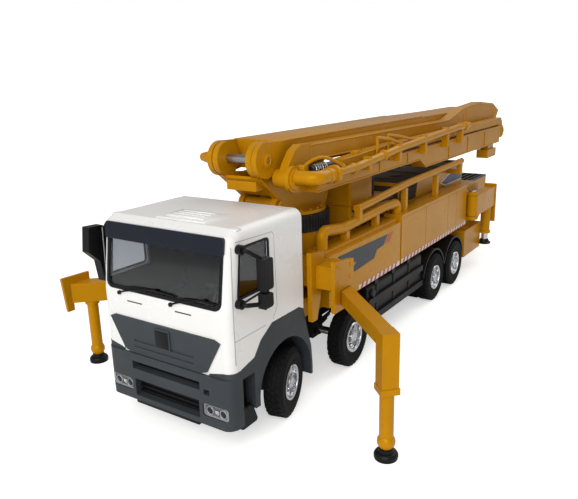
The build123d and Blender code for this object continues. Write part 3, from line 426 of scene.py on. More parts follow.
    @staticmethod
    def strip(points: Sequence[Place], across: Vector, thick: float = 0.6) -> Piece:
        """Bent sheet: a run of points, extruded sideways and given a thickness.

        Args:
            points: the run.
            across: direction and width of the sheet.
            thick: its thickness.

        Returns:
            The mesh object.
        """
        piece = Bench.loop(points, "NOTHING")
        for vertex in piece.data.vertices:
            vertex.select = False
        for edge in piece.data.edges:
            edge.select = set(edge.vertices) == {0, len(points) - 1}
        bpy.ops.object.mode_set(mode="EDIT")
        bpy.ops.mesh.select_mode(type="EDGE")
        bpy.ops.mesh.delete(type="EDGE_FACE")
        Bench.pull(across)
        solid = piece.modifiers.new("wall", "SOLIDIFY")
        solid.thickness = thick * MM
        solid.offset = 0
        bpy.ops.object.modifier_apply(modifier=solid.name)
        return piece

    @staticmethod
    def copies(piece: Piece, places: Iterable[Matrix]) -> list[Piece]:
        """Copy a pattern that stands at the origin to several places, each copy with its own mesh.

        Args:
            piece: the pattern.
            places: matrix of each copy.

        Returns:
            The copies.
        """
        made = []
        for place in places:
            mesh = piece.data.copy()
            mesh.transform(place)
            made.append(bpy.data.objects.new(piece.name, mesh))
            bpy.context.collection.objects.link(made[-1])
        return made

    @staticmethod
    def join(name: str, parts: Sequence[Piece]) -> Piece:
        """Join several objects into one with this name.

        Args:
            name: name of the joined object.
            parts: the objects.

        Returns:
            The joined object.
        """
        Bench.clear()
        for part in parts:
            part.select_set(True)
        bpy.context.view_layer.objects.active = parts[0]
        if len(parts) > 1:
            bpy.ops.object.join()
        joined = bpy.context.view_layer.objects.active
        joined.name = name
        return joined

    @staticmethod
    def smooth(piece: Piece, angle: float) -> None:
        """Shade a piece smooth across edges flatter than this angle, in degrees."""
        Bench.only(piece)
        bpy.ops.object.shade_smooth_by_angle(angle=math.radians(angle))


class Graph:
    """Makes and links the nodes of one shader tree."""

    def __init__(self, tree: bpy.types.NodeTree) -> None:
        """Take the tree."""
        self.tree = tree

    def wire(self, node: bpy.types.Node, sockets: dict) -> bpy.types.Node:
        """Fill a node's inputs.

        Args:
            node: the node.
            sockets: for each input, by name or number, its value or the output that feeds it.

        Returns:
            The same node.
        """
        for label, value in sockets.items():
            if isinstance(value, bpy.types.NodeSocket):
                self.tree.links.new(value, node.inputs[label])
            else:
                node.inputs[label].default_value = value
        return node

    def add(self, kind: str, sockets: Optional[dict] = None, **settings: object) -> bpy.types.Node:
        """Add a shader node of this kind, with its settings and then its inputs.

        Args:
            kind: the node's type, without its prefix.
            sockets: its inputs, as wire takes them.
            settings: its properties.

        Returns:
            The new node.
        """
        node = self.tree.nodes.new(f"ShaderNode{kind}")
        for label, value in settings.items():
            setattr(node, label, value)
        return self.wire(node, sockets or {})

    def place(self) -> bpy.types.NodeSocket:
        """The Object coordinates."""
        return self.add("TexCoord").outputs["Object"]

    def times(self, first: bpy.types.NodeSocket, second: bpy.types.NodeSocket) -> bpy.types.NodeSocket:
        """The product of two values."""
        return self.add("Math", {0: first, 1: second}, operation="MULTIPLY").outputs["Value"]


class EffectGroups:
    """Shader node groups that several finishes share."""

    def __init__(self) -> None:
        """Make the groups."""
        self.grain = self._grain()
        self.mottle = self._mottle()
        self.dust = self._dust()
        self.rub = self._rub()

    @staticmethod
    def _start(name: str, inputs: dict[str, float], output: str = "Mask",
               kind: str = "NodeSocketFloat") -> tuple:
        """Start a group.

        Args:
            name: name of the group.
            inputs: each input's default.
            output: name of the output.
            kind: socket type of the output.

        Returns:
            The graph, the group's inputs as outputs to link from, and the output node.
        """
        tree = bpy.data.node_groups.new(name, "ShaderNodeTree")
        for label, default in inputs.items():
            socket = tree.interface.new_socket(name=label, in_out="INPUT", socket_type="NodeSocketFloat")
            socket.default_value = default
        tree.interface.new_socket(name=output, in_out="OUTPUT", socket_type=kind)
        return Graph(tree), tree.nodes.new("NodeGroupInput").outputs, tree.nodes.new("NodeGroupOutput")

    def _grain(self) -> bpy.types.NodeTree:
        """Fine moulded or sprayed texture as a normal.

        Returns:
            The group's tree.
        """
        graph, given, end = self._start(
            "fine_grain", {"Size": 900, "Strength": 0.1}, "Normal", "NodeSocketVector",
        )
        noise = graph.add("TexNoise", {"Vector": graph.place(), "Scale": given["Size"], "Detail": 3})
        bump = graph.add("Bump", {
            "Strength": given["Strength"], "Height": noise.outputs["Fac"], "Distance": 0.0002,
        })
        graph.wire(end, {"Normal": bump.outputs["Normal"]})
        return graph.tree

    def _mottle(self) -> bpy.types.NodeTree:
        """Slow change across a surface, from 0 to 1.

        Returns:
            The group's tree.
        """
        graph, given, end = self._start("slow_mottle", {"Size": 40})
        noise = graph.add("TexNoise", {
            "Vector": graph.place(), "Scale": given["Size"], "Detail": 5, "Roughness": 0.6,
        })
        spread = graph.add("MapRange", {"Value": noise.outputs["Fac"], "From Min": 0.3, "From Max": 0.7})
        graph.wire(end, {"Mask": spread.outputs["Result"]})
        return graph.tree

    def _dust(self) -> bpy.types.NodeTree:
        """Light dust on faces that look up, as a mask.

        Returns:
            The group's tree.
        """
        graph, given, end = self._start("settled_dust", {"Amount": 0.2})
        split = graph.add("SeparateXYZ", {"Vector": graph.add("NewGeometry").outputs["Normal"]})
        up = graph.add("MapRange", {"Value": split.outputs["Z"], "From Min": 0.5})
        noise = graph.add("TexNoise", {"Vector": graph.place(), "Scale": 160, "Detail": 4})
        both = graph.times(up.outputs["Result"], noise.outputs["Fac"])
        graph.wire(end, {"Mask": graph.times(both, given["Amount"])})
        return graph.tree

    def _rub(self) -> bpy.types.NodeTree:
        """Lightly rubbed edges, as a mask.

        Returns:
            The group's tree.
        """
        graph, given, end = self._start("rubbed_edges", {"Width": 0.0004, "Amount": 0.3})
        rounded = graph.add("Bevel", {"Radius": given["Width"]}, samples=4)
        dot = graph.add("VectorMath", {
            0: rounded.outputs["Normal"], 1: graph.add("NewGeometry").outputs["Normal"],
        }, operation="DOT_PRODUCT")
        spread = graph.add("MapRange", {"Value": dot.outputs["Value"], "From Min": 0.97, "From Max": 0.80})
        graph.wire(end, {"Mask": graph.times(spread.outputs["Result"], given["Amount"])})
        return graph.tree


@dataclass(frozen=True)
class Finish:
    """How one finish looks.

    Colours are linear. The grain's size is in waves per metre, and deeper is the colour
    that the slow mottle brings in.
    """

    name: str
    colour: Tone
    deeper: Tone
    roughness: float = 0.4
    shine_change: float = 0.06
    metallic: float = 0.0
    coat: float = 0.0
    grain_size: float = 900.0
    grain: float = 0.1
    mottle_size: float = 40.0
    dust: float = 0.1
    dust_colour: Tone = (0.55, 0.52, 0.47)
    rub: float = 0.0
    rub_colour: Tone = (0.8, 0.8, 0.8)
    transmission: float = 0.0
    specular: float = 0.5
    tint: Tone = (1.0, 1.0, 1.0)

    def build(self, groups: EffectGroups) -> bpy.types.Material:
        """Make the material.

        Args:
            groups: the shared effects.

        Returns:
            The new material.
        """
        material = bpy.data.materials.new(self.name)
        material.use_nodes = True
        graph = Graph(material.node_tree)
        mottle = graph.add("Group", {"Size": self.mottle_size}, node_tree=groups.mottle).outputs["Mask"]
        colour = self._blend(graph, mottle, (*self.colour, 1), self.deeper)
        if self.rub:
            mask = graph.add("Group", {"Amount": self.rub}, node_tree=groups.rub).outputs["Mask"]
            colour = self._blend(graph, mask, colour, self.rub_colour)
        if self.dust:
            mask = graph.add("Group", {"Amount": self.dust}, node_tree=groups.dust).outputs["Mask"]
            colour = self._blend(graph, mask, colour, self.dust_colour)
        shine = graph.add("MapRange", {
            "Value": mottle, "To Min": max(0.02, self.roughness - self.shine_change),
            "To Max": self.roughness + self.shine_change,
        })
        shader = graph.wire(material.node_tree.nodes["Principled BSDF"], {
            "Base Color": colour, "Roughness": shine.outputs["Result"], "Metallic": self.metallic,
            "Coat Weight": self.coat, "Coat Roughness": 0.08, "Transmission Weight": self.transmission,
            "Specular IOR Level": self.specular, "Specular Tint": (*self.tint, 1),
        })
        if self.grain:
            sockets = {"Size": self.grain_size, "Strength": self.grain}
            grain = graph.add("Group", sockets, node_tree=groups.grain)
            graph.wire(shader, {"Normal": grain.outputs["Normal"]})
        return material

    @staticmethod
    def _blend(graph: Graph, mask: bpy.types.NodeSocket, first: object, second: Tone) -> bpy.types.NodeSocket:
        """Mix two colours by a mask."""
        sockets = {"Factor": mask, 6: first, 7: (*second, 1)}
        return graph.add("Mix", sockets, data_type="RGBA").outputs[2]


class Palette:
    """Every finish of the model, by name."""

    FINISHES = (
        Finish("amber_paint", (0.49, 0.215, 0.002), (0.43, 0.185, 0.002), roughness=0.3,
               grain_size=700, grain=0.05, dust=0.02, dust_colour=(0.45, 0.32, 0.14), rub=0.08,
               rub_colour=(0.58, 0.30, 0.02), specular=0.55, tint=(1.0, 0.55, 0.08)),
        Finish("cab_paint", (0.80, 0.79, 0.77), (0.785, 0.775, 0.75), roughness=0.3, coat=0.15,
               grain_size=600, grain=0.02, dust=0.0, specular=0.4),
        Finish("slate_plastic", (0.037, 0.044, 0.050), (0.030, 0.037, 0.043), roughness=0.5,
               grain_size=2600, grain=0.2, dust=0.04, rub=0.12, rub_colour=(0.08, 0.09, 0.10), specular=0.3),
        Finish("black_plastic", (0.005, 0.005, 0.006), (0.004, 0.004, 0.005), roughness=0.42,
               grain_size=2200, grain=0.16, dust=0.01, rub=0.1, rub_colour=(0.02, 0.02, 0.02), specular=0.2),
        Finish("interior_plastic", (0.005, 0.006, 0.008), (0.004, 0.005, 0.007), roughness=0.6,
               grain_size=1800, grain=0.3, dust=0.03, specular=0.25),
        Finish("dark_band", (0.010, 0.013, 0.022), (0.008, 0.011, 0.018), roughness=0.16, coat=0.1,
               grain=0.02, dust=0.01, specular=0.3),
        Finish("window_glass", (0.66, 0.69, 0.73), (0.62, 0.65, 0.69), roughness=0.03, shine_change=0.01,
               transmission=1.0, grain=0.0, dust=0.0, specular=0.3),
        Finish("lamp_lens", (0.92, 0.94, 0.95), (0.88, 0.90, 0.92), roughness=0.06, shine_change=0.02,
               transmission=0.9, grain_size=1500, grain=0.12, dust=0.0),
        Finish("chassis_paint", (0.009, 0.009, 0.010), (0.006, 0.006, 0.007), roughness=0.5,
               grain_size=1300, grain=0.12, dust=0.06, rub=0.1, rub_colour=(0.05, 0.05, 0.05), specular=0.3),
        Finish("black_metal", (0.015, 0.017, 0.019), (0.010, 0.011, 0.013), roughness=0.4,
               grain_size=1100, grain=0.08, dust=0.05, rub=0.25, rub_colour=(0.10, 0.10, 0.10), specular=0.35),
        Finish("tyre_rubber", (0.005, 0.005, 0.006), (0.004, 0.004, 0.004), roughness=0.66,
               grain_size=2400, grain=0.25, dust=0.03, dust_colour=(0.08, 0.075, 0.07), specular=0.15),
        Finish("rim_chrome", (0.72, 0.73, 0.75), (0.64, 0.65, 0.67), roughness=0.17, metallic=1.0,
               grain_size=500, grain=0.04, dust=0.03),
        Finish("rod_chrome", (0.74, 0.75, 0.77), (0.66, 0.67, 0.69), roughness=0.12, metallic=1.0,
               grain=0.02, dust=0.0),
        Finish("steel_pin", (0.40, 0.39, 0.37), (0.31, 0.30, 0.29), roughness=0.34, metallic=1.0,
               grain_size=1200, grain=0.1, dust=0.05),
        Finish("seam_shadow", (0.34, 0.33, 0.32), (0.28, 0.275, 0.27), roughness=0.8, grain=0.0, dust=0.0),
        # Near black of the grip slits under the windscreen: painted shade of their recesses.
        Finish("slit_painted_shade", (0.05, 0.05, 0.05), (0.04, 0.04, 0.04), roughness=0.8, grain=0.0, dust=0.0),
        Finish("decal_slate", (0.030, 0.038, 0.048), (0.024, 0.031, 0.040), roughness=0.3, grain=0.03,
               dust=0.02, specular=0.3),
        Finish("decal_red", (0.42, 0.045, 0.03), (0.36, 0.035, 0.025), roughness=0.35, grain=0.03, dust=0.03),
        Finish("decal_white", (0.66, 0.65, 0.63), (0.60, 0.59, 0.57), roughness=0.35, grain=0.03, dust=0.03),
        Finish("decal_blue", (0.010, 0.030, 0.12), (0.008, 0.024, 0.095), roughness=0.3, grain=0.03, dust=0.02,
               specular=0.3),
        Finish("seam_deep", (0.34, 0.145, 0.002), (0.30, 0.125, 0.002), roughness=0.7, grain=0.0, dust=0.0),
        # Dark brown: the louvres' own colour, and painted shade of the boom where it covers the hood's top and
        # front.
        Finish("vent_and_painted_shade_brown", (0.045, 0.030, 0.016), (0.030, 0.021, 0.012), roughness=0.6, grain=0.1, dust=0.05,
               specular=0.3),
        Finish("lamp_bezel", (0.30, 0.31, 0.32), (0.25, 0.26, 0.27), roughness=0.25, coat=0.3, grain=0.03,
               dust=0.02),
        Finish("lamp_amber", (0.75, 0.22, 0.01), (0.62, 0.16, 0.008), roughness=0.15, coat=0.5, grain=0.02,
               dust=0.02),
        Finish("lamp_red", (0.42, 0.012, 0.008), (0.34, 0.008, 0.006), roughness=0.15, coat=0.5, grain=0.02,
               dust=0.02),
    )

    def __init__(self) -> None:
        """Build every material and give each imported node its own."""
        groups = EffectGroups()
        self.materials = {finish.name: finish.build(groups) for finish in self.FINISHES}
        slots = {entry["node"]: entry["material_slot"] for entry in frame["record"]["subparts"]}
        for node, piece in frame["nodes"].items():
            piece.data.materials.clear()
            piece.data.materials.append(self.materials[slots[node]])

    def dress(self, name: str, parts: Sequence[Piece], finish: str, body: str = Body.TRUCK,
              slot: Optional[str] = None) -> Piece:
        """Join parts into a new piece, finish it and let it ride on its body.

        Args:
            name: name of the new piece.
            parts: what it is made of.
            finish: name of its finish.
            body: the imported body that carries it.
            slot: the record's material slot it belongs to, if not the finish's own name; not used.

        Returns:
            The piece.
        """
        piece = Bench.join(name, parts)
        piece.data.materials.clear()
        piece.data.materials.append(self.materials[finish])
        Bench.smooth(piece, NEW_PIECE_CREASE)
        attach(piece, str(body.value if isinstance(body, Enum) else body))
        log.info("made %s", name)
        return piece


@dataclass
class Wheels:
    """Tyres with a block tread, and the nuts, lips and hub caps on the rims."""

    palette: Palette
    half_width: float = 4.5
    bead_radius: float = 8.26
    tread_base: float = 15.35
    tread_depth: float = 0.42
    tread_steps: int = 90
    nut_circle: float = 3.4
    nuts: int = 10
    kingpin_y: float = 22.4
    steer: float = 14.0
    outer_face: float = 37.0
    twin_rows: Pair = (32.5, 22.3)

    def hub(self, side: Side) -> tuple[Vector, Vector]:
        """Middle of a front wheel, in metres, and its outward direction.

        Args:
            side: the wheel's side.

        Returns:
            The middle and the direction.
        """
        turn = math.radians(self.steer)
        outward = Vector((-side.value * math.sin(turn), side.value * math.cos(turn), 0))
        reach = self.outer_face - self.half_width - self.kingpin_y
        return at(*side.place(0, self.kingpin_y, AXLE_HEIGHT)) + outward * reach * MM, outward

    def tyre_pattern(self) -> Piece:
        """One tyre round the Z axis, with its tread blocks pulled out of the carcass.

        Returns:
            The pattern.
        """
        w, r = self.half_width, self.tread_base
        half = [
            (self.bead_radius, -w + 0.5), (9.0, -w + 0.12), (9.9, -w + 0.02), (10.1, -w + 0.2),
            (12.6, -w + 0.05), (12.8, -w), (13.3, -w), (13.5, -w + 0.16), (14.7, -w + 0.55),
            (r, -3.45), (r, -2.0), (r, -1.65), (r, -0.2),
        ]
        profile = half + [(radius, -height) for radius, height in reversed(half)]
        tyre = Bench.turned(profile, steps=self.tread_steps, closed=True)
        bpy.ops.object.mode_set(mode="EDIT")
        bpy.ops.mesh.select_mode(type="FACE")
        bpy.ops.mesh.select_all(action="DESELECT")
        bpy.ops.object.mode_set(mode="OBJECT")
        for polygon in tyre.data.polygons:
            middle = polygon.center
            step = int((math.atan2(middle.y, middle.x) / math.tau % 1) * self.tread_steps)
            height = abs(middle.z) / MM
            on_tread = math.hypot(middle.x, middle.y) / MM > r - 0.12
            row = 0 if 0.2 < height < 1.65 else 1 if 2.0 < height < 3.45 else None
            shift = (1 if row else 0) + (2 if middle.z > 0 else 0)
            polygon.select = on_tread and row is not None and (step + shift) % 3 != 0
        bpy.ops.object.mode_set(mode="EDIT")
        bpy.ops.mesh.extrude_region_shrink_fatten(TRANSFORM_OT_shrink_fatten={"value": self.tread_depth * MM})
        bpy.ops.object.mode_set(mode="OBJECT")
        return tyre

    def trim_pattern(self) -> Piece:
        """Hub cap, ring of nuts and bright rings of one rim, round the Z axis with the face upwards.

        Returns:
            The pattern.
        """
        cap = Bench.turned([(2.5, 3.3), (2.5, 3.75), (2.2, 4.05), (1.3, 4.1), (1.1, 3.95), (0.4, 4.0)],
                           steps=28)
        lip = Bench.turned([(6.95, 3.7), (7.1, 4.05), (7.95, 4.2), (8.2, 3.85), (8.15, 3.4), (7.0, 3.4)],
                           steps=48, closed=True)
        step = Bench.turned([(6.1, 1.2), (6.1, 1.75), (6.5, 1.95), (6.93, 1.95), (6.93, 1.2)],
                            steps=48, closed=True)
        nut = Bench.turned([(0.5, 1.2), (0.5, 2.0), (0.3, 2.3), (0.26, 2.5)], steps=6)
        nuts = Bench.copies(nut, [
            Matrix.Rotation(math.tau * n / self.nuts, 4, "Z") @ Matrix.Translation((self.nut_circle * MM, 0, 0))
            for n in range(self.nuts)
        ])
        bpy.data.objects.remove(nut)
        return Bench.join("trim_pattern", [cap, lip, step, *nuts])

    def build(self) -> None:
        """Make every tyre and every rim's trim."""
        groups = {}
        for side in Side:
            name = side.label
            groups[f"front_{name}"] = (f"wheel_front_{name}", f"tyre_1_{name}", [self.hub(side)])
        for number, ahead in enumerate(REAR_AXLES, 2):
            rows = self.twin_rows[:1 if number == 2 else 2]
            places = [(at(*side.place(ahead, y, AXLE_HEIGHT)), side.out) for side in Side for y in rows]
            groups[f"axle_{number}"] = (f"wheels_{number}", f"tyres_{number}", places)
        tyre, trim = self.tyre_pattern(), self.trim_pattern()
        between_rows = sum(self.twin_rows) / 2 * MM
        for name, (body, node, places) in groups.items():
            turns = [outward.to_track_quat("Z", "X").to_matrix().to_4x4() for _, outward in places]
            matrices = [Matrix.Translation(middle) @ turn for (middle, _), turn in zip(places, turns)]
            outer = [matrix for matrix in matrices if abs(matrix.translation.y) > between_rows]
            piece = self.palette.dress(f"tyre_{name}", Bench.copies(tyre, matrices), "tyre_rubber", body)
            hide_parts(node)
            self.palette.dress(f"rim_trim_{name}", Bench.copies(trim, outer), "rim_chrome", body)
        bpy.data.objects.remove(tyre)
        bpy.data.objects.remove(trim)


@dataclass
class Cab:
    """Trim of the cab: seals, seams, wipers, hatch, lamps, mirrors and arch liners."""

    palette: Palette
    front: float = 37.2
    screen_foot: float = 61.0
    screen_lean: Pair = (-0.1503, 0.9886)
    screen_size: tuple[float, float, float] = (63.0, 1.4, 25.4)
    window: Outline = ((10.4, 65.7), (10.4, 85.6), (28.6, 85.6), (31.2, 65.7))
    lamp_place: Pair = (26.8, 18.4)
    arch_middle: Pair = (-0.3, 18.0)
    arch_radius: float = 19.8
    rear: float = -14.6

    def on_screen(self, y: float, up: float, lift: float = 0.0) -> Place:
        """Place on the leaning windscreen, this far up from its foot and in front of it."""
        back, rise = self.screen_lean
        return self.front + up * back + lift * rise, y, self.screen_foot + up * rise - lift * back

    def seals(self) -> None:
        """Black rubber seals round the windscreen and the side windows."""
        width, low, high = self.screen_size
        overlap = 0.6
        ring = rounded_box(width / 2 + overlap, (high - low) / 2 + overlap, 3.4, 6)
        points = [self.on_screen(y, (low + high) / 2 + up, -0.3) for y, up in ring]
        outward = Vector(self.on_screen(0, 0, 0.55)) - Vector(self.on_screen(0, 0, 0))
        self.palette.dress("screen_seal", [Bench.band(points, 1.5, outward)], "black_plastic")
        for side in Side:
            outline = softened(grown(self.window, 0.45), 2.2)
            points = [side.place(ahead, SIDE_Y - 0.25, z) for ahead, z in outline]
            seal = Bench.band(points, 0.95, side.out * 0.5)
            self.palette.dress(f"window_seal_{side.label}", [seal], "black_plastic")

    def lining(self) -> None:
        """Dark trim inside the shell: rear wall, ceiling and cards under the side windows."""
        back = self.rear + 2.0
        card = ((back, 37.0), (back, 90.0), (9.6, 90.0), (9.6, 64.9), (33.2, 64.9), (34.4, 58.0), (34.4, 50.4),
                (18.0, 50.4))
        pillar = ((9.6, 86.4), (9.6, 90.0), (27.0, 90.0), (28.2, 86.4))
        parts = [
            Bench.block((self.rear + 1.8, -33.4, 36.4), (self.rear + 2.6, 33.4, 90.6), 0.2),
            Bench.block((back, -33.4, 89.6), (27.6, 33.4, 90.4), 0.2),
        ]
        parts += [Bench.plate(shape, side.value * 33.2, 0.5, 0) for side in Side for shape in (card, pillar)]
        self.palette.dress("cab_lining", parts, "interior_plastic")

    def wipers(self) -> None:
        """Two wipers, each an arm from its pivot and a blade along the foot of the screen."""
        on, parts = self.on_screen, []
        for y, tip, end in ((-24.0, (-2.0, 4.0), (8.0, 2.9)), (6.0, (24.0, 4.2), (29.0, 3.2))):
            parts += [
                Bench.rod(on(y, -0.6, -0.2), on(y, -0.6, 0.95), 0.9, 12),
                Bench.line([on(y, -0.6, 0.8), on(y + 3, 1.2, 1.0), on(*tip, 0.5)], 0.38),
                Bench.line([on(y + 5, 2.6, 0.25), on(*tip, 0.3), on(*end, 0.25)], 0.42),
            ]
        self.palette.dress("wipers", parts, "black_plastic")

    def seams(self) -> None:
        """Door seams, dark strips of painted shade for the grip slits under the windscreen, and door handles.
        """
        runs = (
            ((30.9, 88.3), (7.6, 87.4), (6.4, 86.2), (5.5, 55.0), (8.6, 50.2)),
            ((33.6, 87.0), (34.2, 62.0), (34.2, 39.6)),
            ((13.6, 49.3), (33.9, 49.3)),
        )
        seams = [Bench.trace(run, side.value * (SIDE_Y - 0.06), 0.15) for side in Side for run in runs]
        self.palette.dress("cab_seams", seams, "seam_shadow", slot="cab_paint")
        # The grip slits are dark strips on the cab's front: painted shade inside the recesses.
        slits = [
            Bench.block((self.front - 0.2, low, z - 0.3), (self.front + 0.08, high, z + 0.3), 0.1)
            for low, high, z in ((-20.0, -11.0, 57.3), (7.8, 16.6, 57.8))
        ]
        self.palette.dress("grip_slits_painted_shade", slits, "slit_painted_shade", slot="black_plastic")
        grip = ((7.4, -0.3, 56.2), (7.8, 1.1, 56.2), (12.6, 1.1, 56.4), (13.0, -0.3, 56.4))
        handles = [
            Bench.line([side.place(ahead, SIDE_Y + y, z) for ahead, y, z in grip], 0.45) for side in Side
        ]
        self.palette.dress("door_handles", handles, "cab_paint")

    def roof(self) -> None:
        """Raised hatch on the roof, its frame and the small markers at the roof's front corners."""
        parts = [
            Bench.block((10.4, -9.6, 92.4), (26.6, 17.6, 93.2), 0.35),
            Bench.block((13.0, -6.4, 93.0), (24.0, 14.4, 93.7)),
        ]
        parts += [Bench.block((14.2 + 3 * n, -4.6, 93.6), (15.0 + 3 * n, 12.6, 93.95), 0.12) for n in range(4)]
        parts += [Bench.block(side.place(25.2, 32.4, 90.9), side.place(28.8, 34.4, 92.6), 0.5) for side in Side]
        self.palette.dress("roof_hatch", parts, "cab_paint")

    def lamps(self) -> None:
        """Bezel, two round lamps and a middle reflector in each lamp pocket."""
        lamp_y, z = self.lamp_place
        bezels, lenses, reflectors = [], [], []
        for side in Side:
            y = side.value * lamp_y
            ring = [(36.6, y + across, z + up) for across, up in rounded_box(6.4, 2.8, 1.3, 4)]
            bezels.append(Bench.band(ring, 0.7, FORWARD))
            bezels.append(Bench.block((36.6, y - 5.4, z + 1.7), (37.2, y + 5.4, z + 2.2), 0.15))
            for place in ((36.7, y - 3.5, z - 0.35), (36.7, y + 3.5, z - 0.35)):
                rim = [(2.0, 0), (2.0, 0.7), (1.75, 0.9), (1.5, 0.7), (1.5, 0)]
                bezels.append(Bench.turned(rim, place, FORWARD, closed=True))
                dome = [(1.5, 0), (1.5, 0.35), (1.1, 0.6), (0.5, 0.75)]
                lenses.append(Bench.turned(dome, place, FORWARD, 20))
            reflectors.append(Bench.block((36.6, y - 1.0, z - 1.6), (37.3, y + 1.0, z + 0.4), 0.2))
        self.palette.dress("lamp_bezels", bezels, "lamp_bezel", slot="lamp_lens")
        self.palette.dress("lamp_eyes", lenses, "dark_band", slot="lamp_lens")
        self.palette.dress("lamp_middles", reflectors, "rim_chrome", slot="lamp_lens")

    def arches(self) -> None:
        """Black liners of the wheel arches and the engine's underside, dark behind the wheels."""
        roof, (ahead, z), radius = 35.4, self.arch_middle, self.arch_radius
        bow = arc((ahead, z), radius, (math.pi * (1 - n / 16) for n in range(17)))
        outline = [(ahead - radius, 12.8), *((a, min(roof, h)) for a, h in bow), (ahead + radius, 15.6)]
        parts = []
        for side in Side:
            parts.append(Bench.strip([side.place(a, 14.6, h) for a, h in outline], side.out * 13.7))
            parts.append(Bench.plate(outline, side.value * 14.2, 0.8, 0))
        parts.append(Bench.block((-14.0, -8.4, 15.0), (18.0, 8.4, 24.0), 2.0))
        parts.append(Bench.block((-34.0, -6.0, 17.0), (-12.0, 6.0, 27.0), 2.2))
        for side in Side:
            parts.append(Bench.block(side.place(-34.0, 13.0, 21.0), side.place(-22.4, 23.0, 38.0), 0.8))
        self.palette.dress("arch_liners", parts, "chassis_paint")

    def mirrors(self) -> None:
        """Mirror glass, rims and strut of the left mirrors, and the root of the right mirror's arm."""
        glass = [
            Bench.block((21.0, 42.8, 70.4), (21.5, 45.4, 81.2), 0.15),
            Bench.block((21.5, 42.8, 63.1), (22.0, 45.4, 67.5), 0.15),
        ]
        self.palette.dress("mirror_glass", glass, "rod_chrome", slot="rim_chrome")
        self.palette.dress("mirror_trim", [
            Bench.line([(30.4, 37.4, 64.4), (25.4, 43.4, 68.9)], 0.45, smooth=False),
            Bench.block((26.6, 42.15, 69.35), (27.5, 46.05, 82.25), 0.4),
            Bench.block((26.3, 42.15, 62.15), (27.2, 46.05, 68.45), 0.4),
            Bench.block((25.8, -37.8, 84.0), (30.2, -35.2, 88.0), 0.8),
        ], "black_plastic")

    def bumper(self) -> None:
        """Entry steps, the dark backs of the bumper's openings, its lip and its soft corners."""
        foot = ((31.12, 17.6), (31.12, 9.35), (29.65, 8.5), (20.95, 8.5), (20.1, 9.55), (23.1, 17.6))
        plates = [
            (foot, 30.5, 3.85, 0.3),
            (oblong(22.7, 30.5, 17.6, 31.9), 30.4, 0.35, 0),
            (oblong(30.3, 30.7, 17.6, 31.9), 30.6, 4.7, 0),
            (oblong(22.7, 30.6, 31.7, 32.1), 30.6, 4.8, 0),
        ]
        starts = (23.6, 25.4, 27.2, 29.0)
        plates += [(oblong(start, start + 0.9, 17.4, 18.0), 31.0, 3.0, 0.12) for start in starts]
        steps = [Bench.plate(shape, side.value * y, *sizes) for side in Side for shape, y, *sizes in plates]
        self.palette.dress("step_treads", steps, "black_plastic")
        backs = [
            Bench.block((34.3, -19.3, 26.7), (34.9, 19.3, 30.1), 0.2),
            Bench.block((34.3, -18.5, 13.9), (34.9, 18.5, 21.7), 0.2),
            Bench.block((33.4, -19.6, 9.6), (38.0, 17.4, 13.2), 0.6),
            Bench.block((38.0, -4.0, 40.0), (38.4, 4.0, 48.0), 0.15),
        ]
        for z in (15.4, 17.6, 19.8):
            backs.append(Bench.block((34.7, -18.5, z - 0.35), (35.9, 18.5, z + 0.35), 0.12))
        self.palette.dress("intake_mesh", backs, "black_plastic")
        bend_y, foot_z, tall, drop = 31.6, 33.5, 2.8, 1.7
        run = [(37.3, 24.2), (37.3, 28.0), (37.3, bend_y)]
        run += arc((33.2, bend_y), 4.1, (math.pi * n / 12 for n in range(1, 7))) + [(31.4, 35.7)]
        corners = []
        for side in Side:
            corner = Bench.strip([side.place(ahead, y, foot_z) for ahead, y in run], UP * tall, 0.3)
            for vertex in corner.data.vertices:
                if vertex.co.z > (foot_z + 1.0) * MM:
                    inward = (bend_y - abs(vertex.co.y) / MM) / (bend_y - run[0][1])
                    vertex.co.z -= drop * MM * max(0.0, inward)
            corners.append(corner)
        self.palette.dress("bumper_corners", corners, "slate_plastic")

    def build(self) -> None:
        """Make all of the cab's trim."""
        for step in (self.seals, self.lining, self.wipers, self.seams, self.roof, self.lamps, self.arches,
                     self.mirrors, self.bumper):
            step()


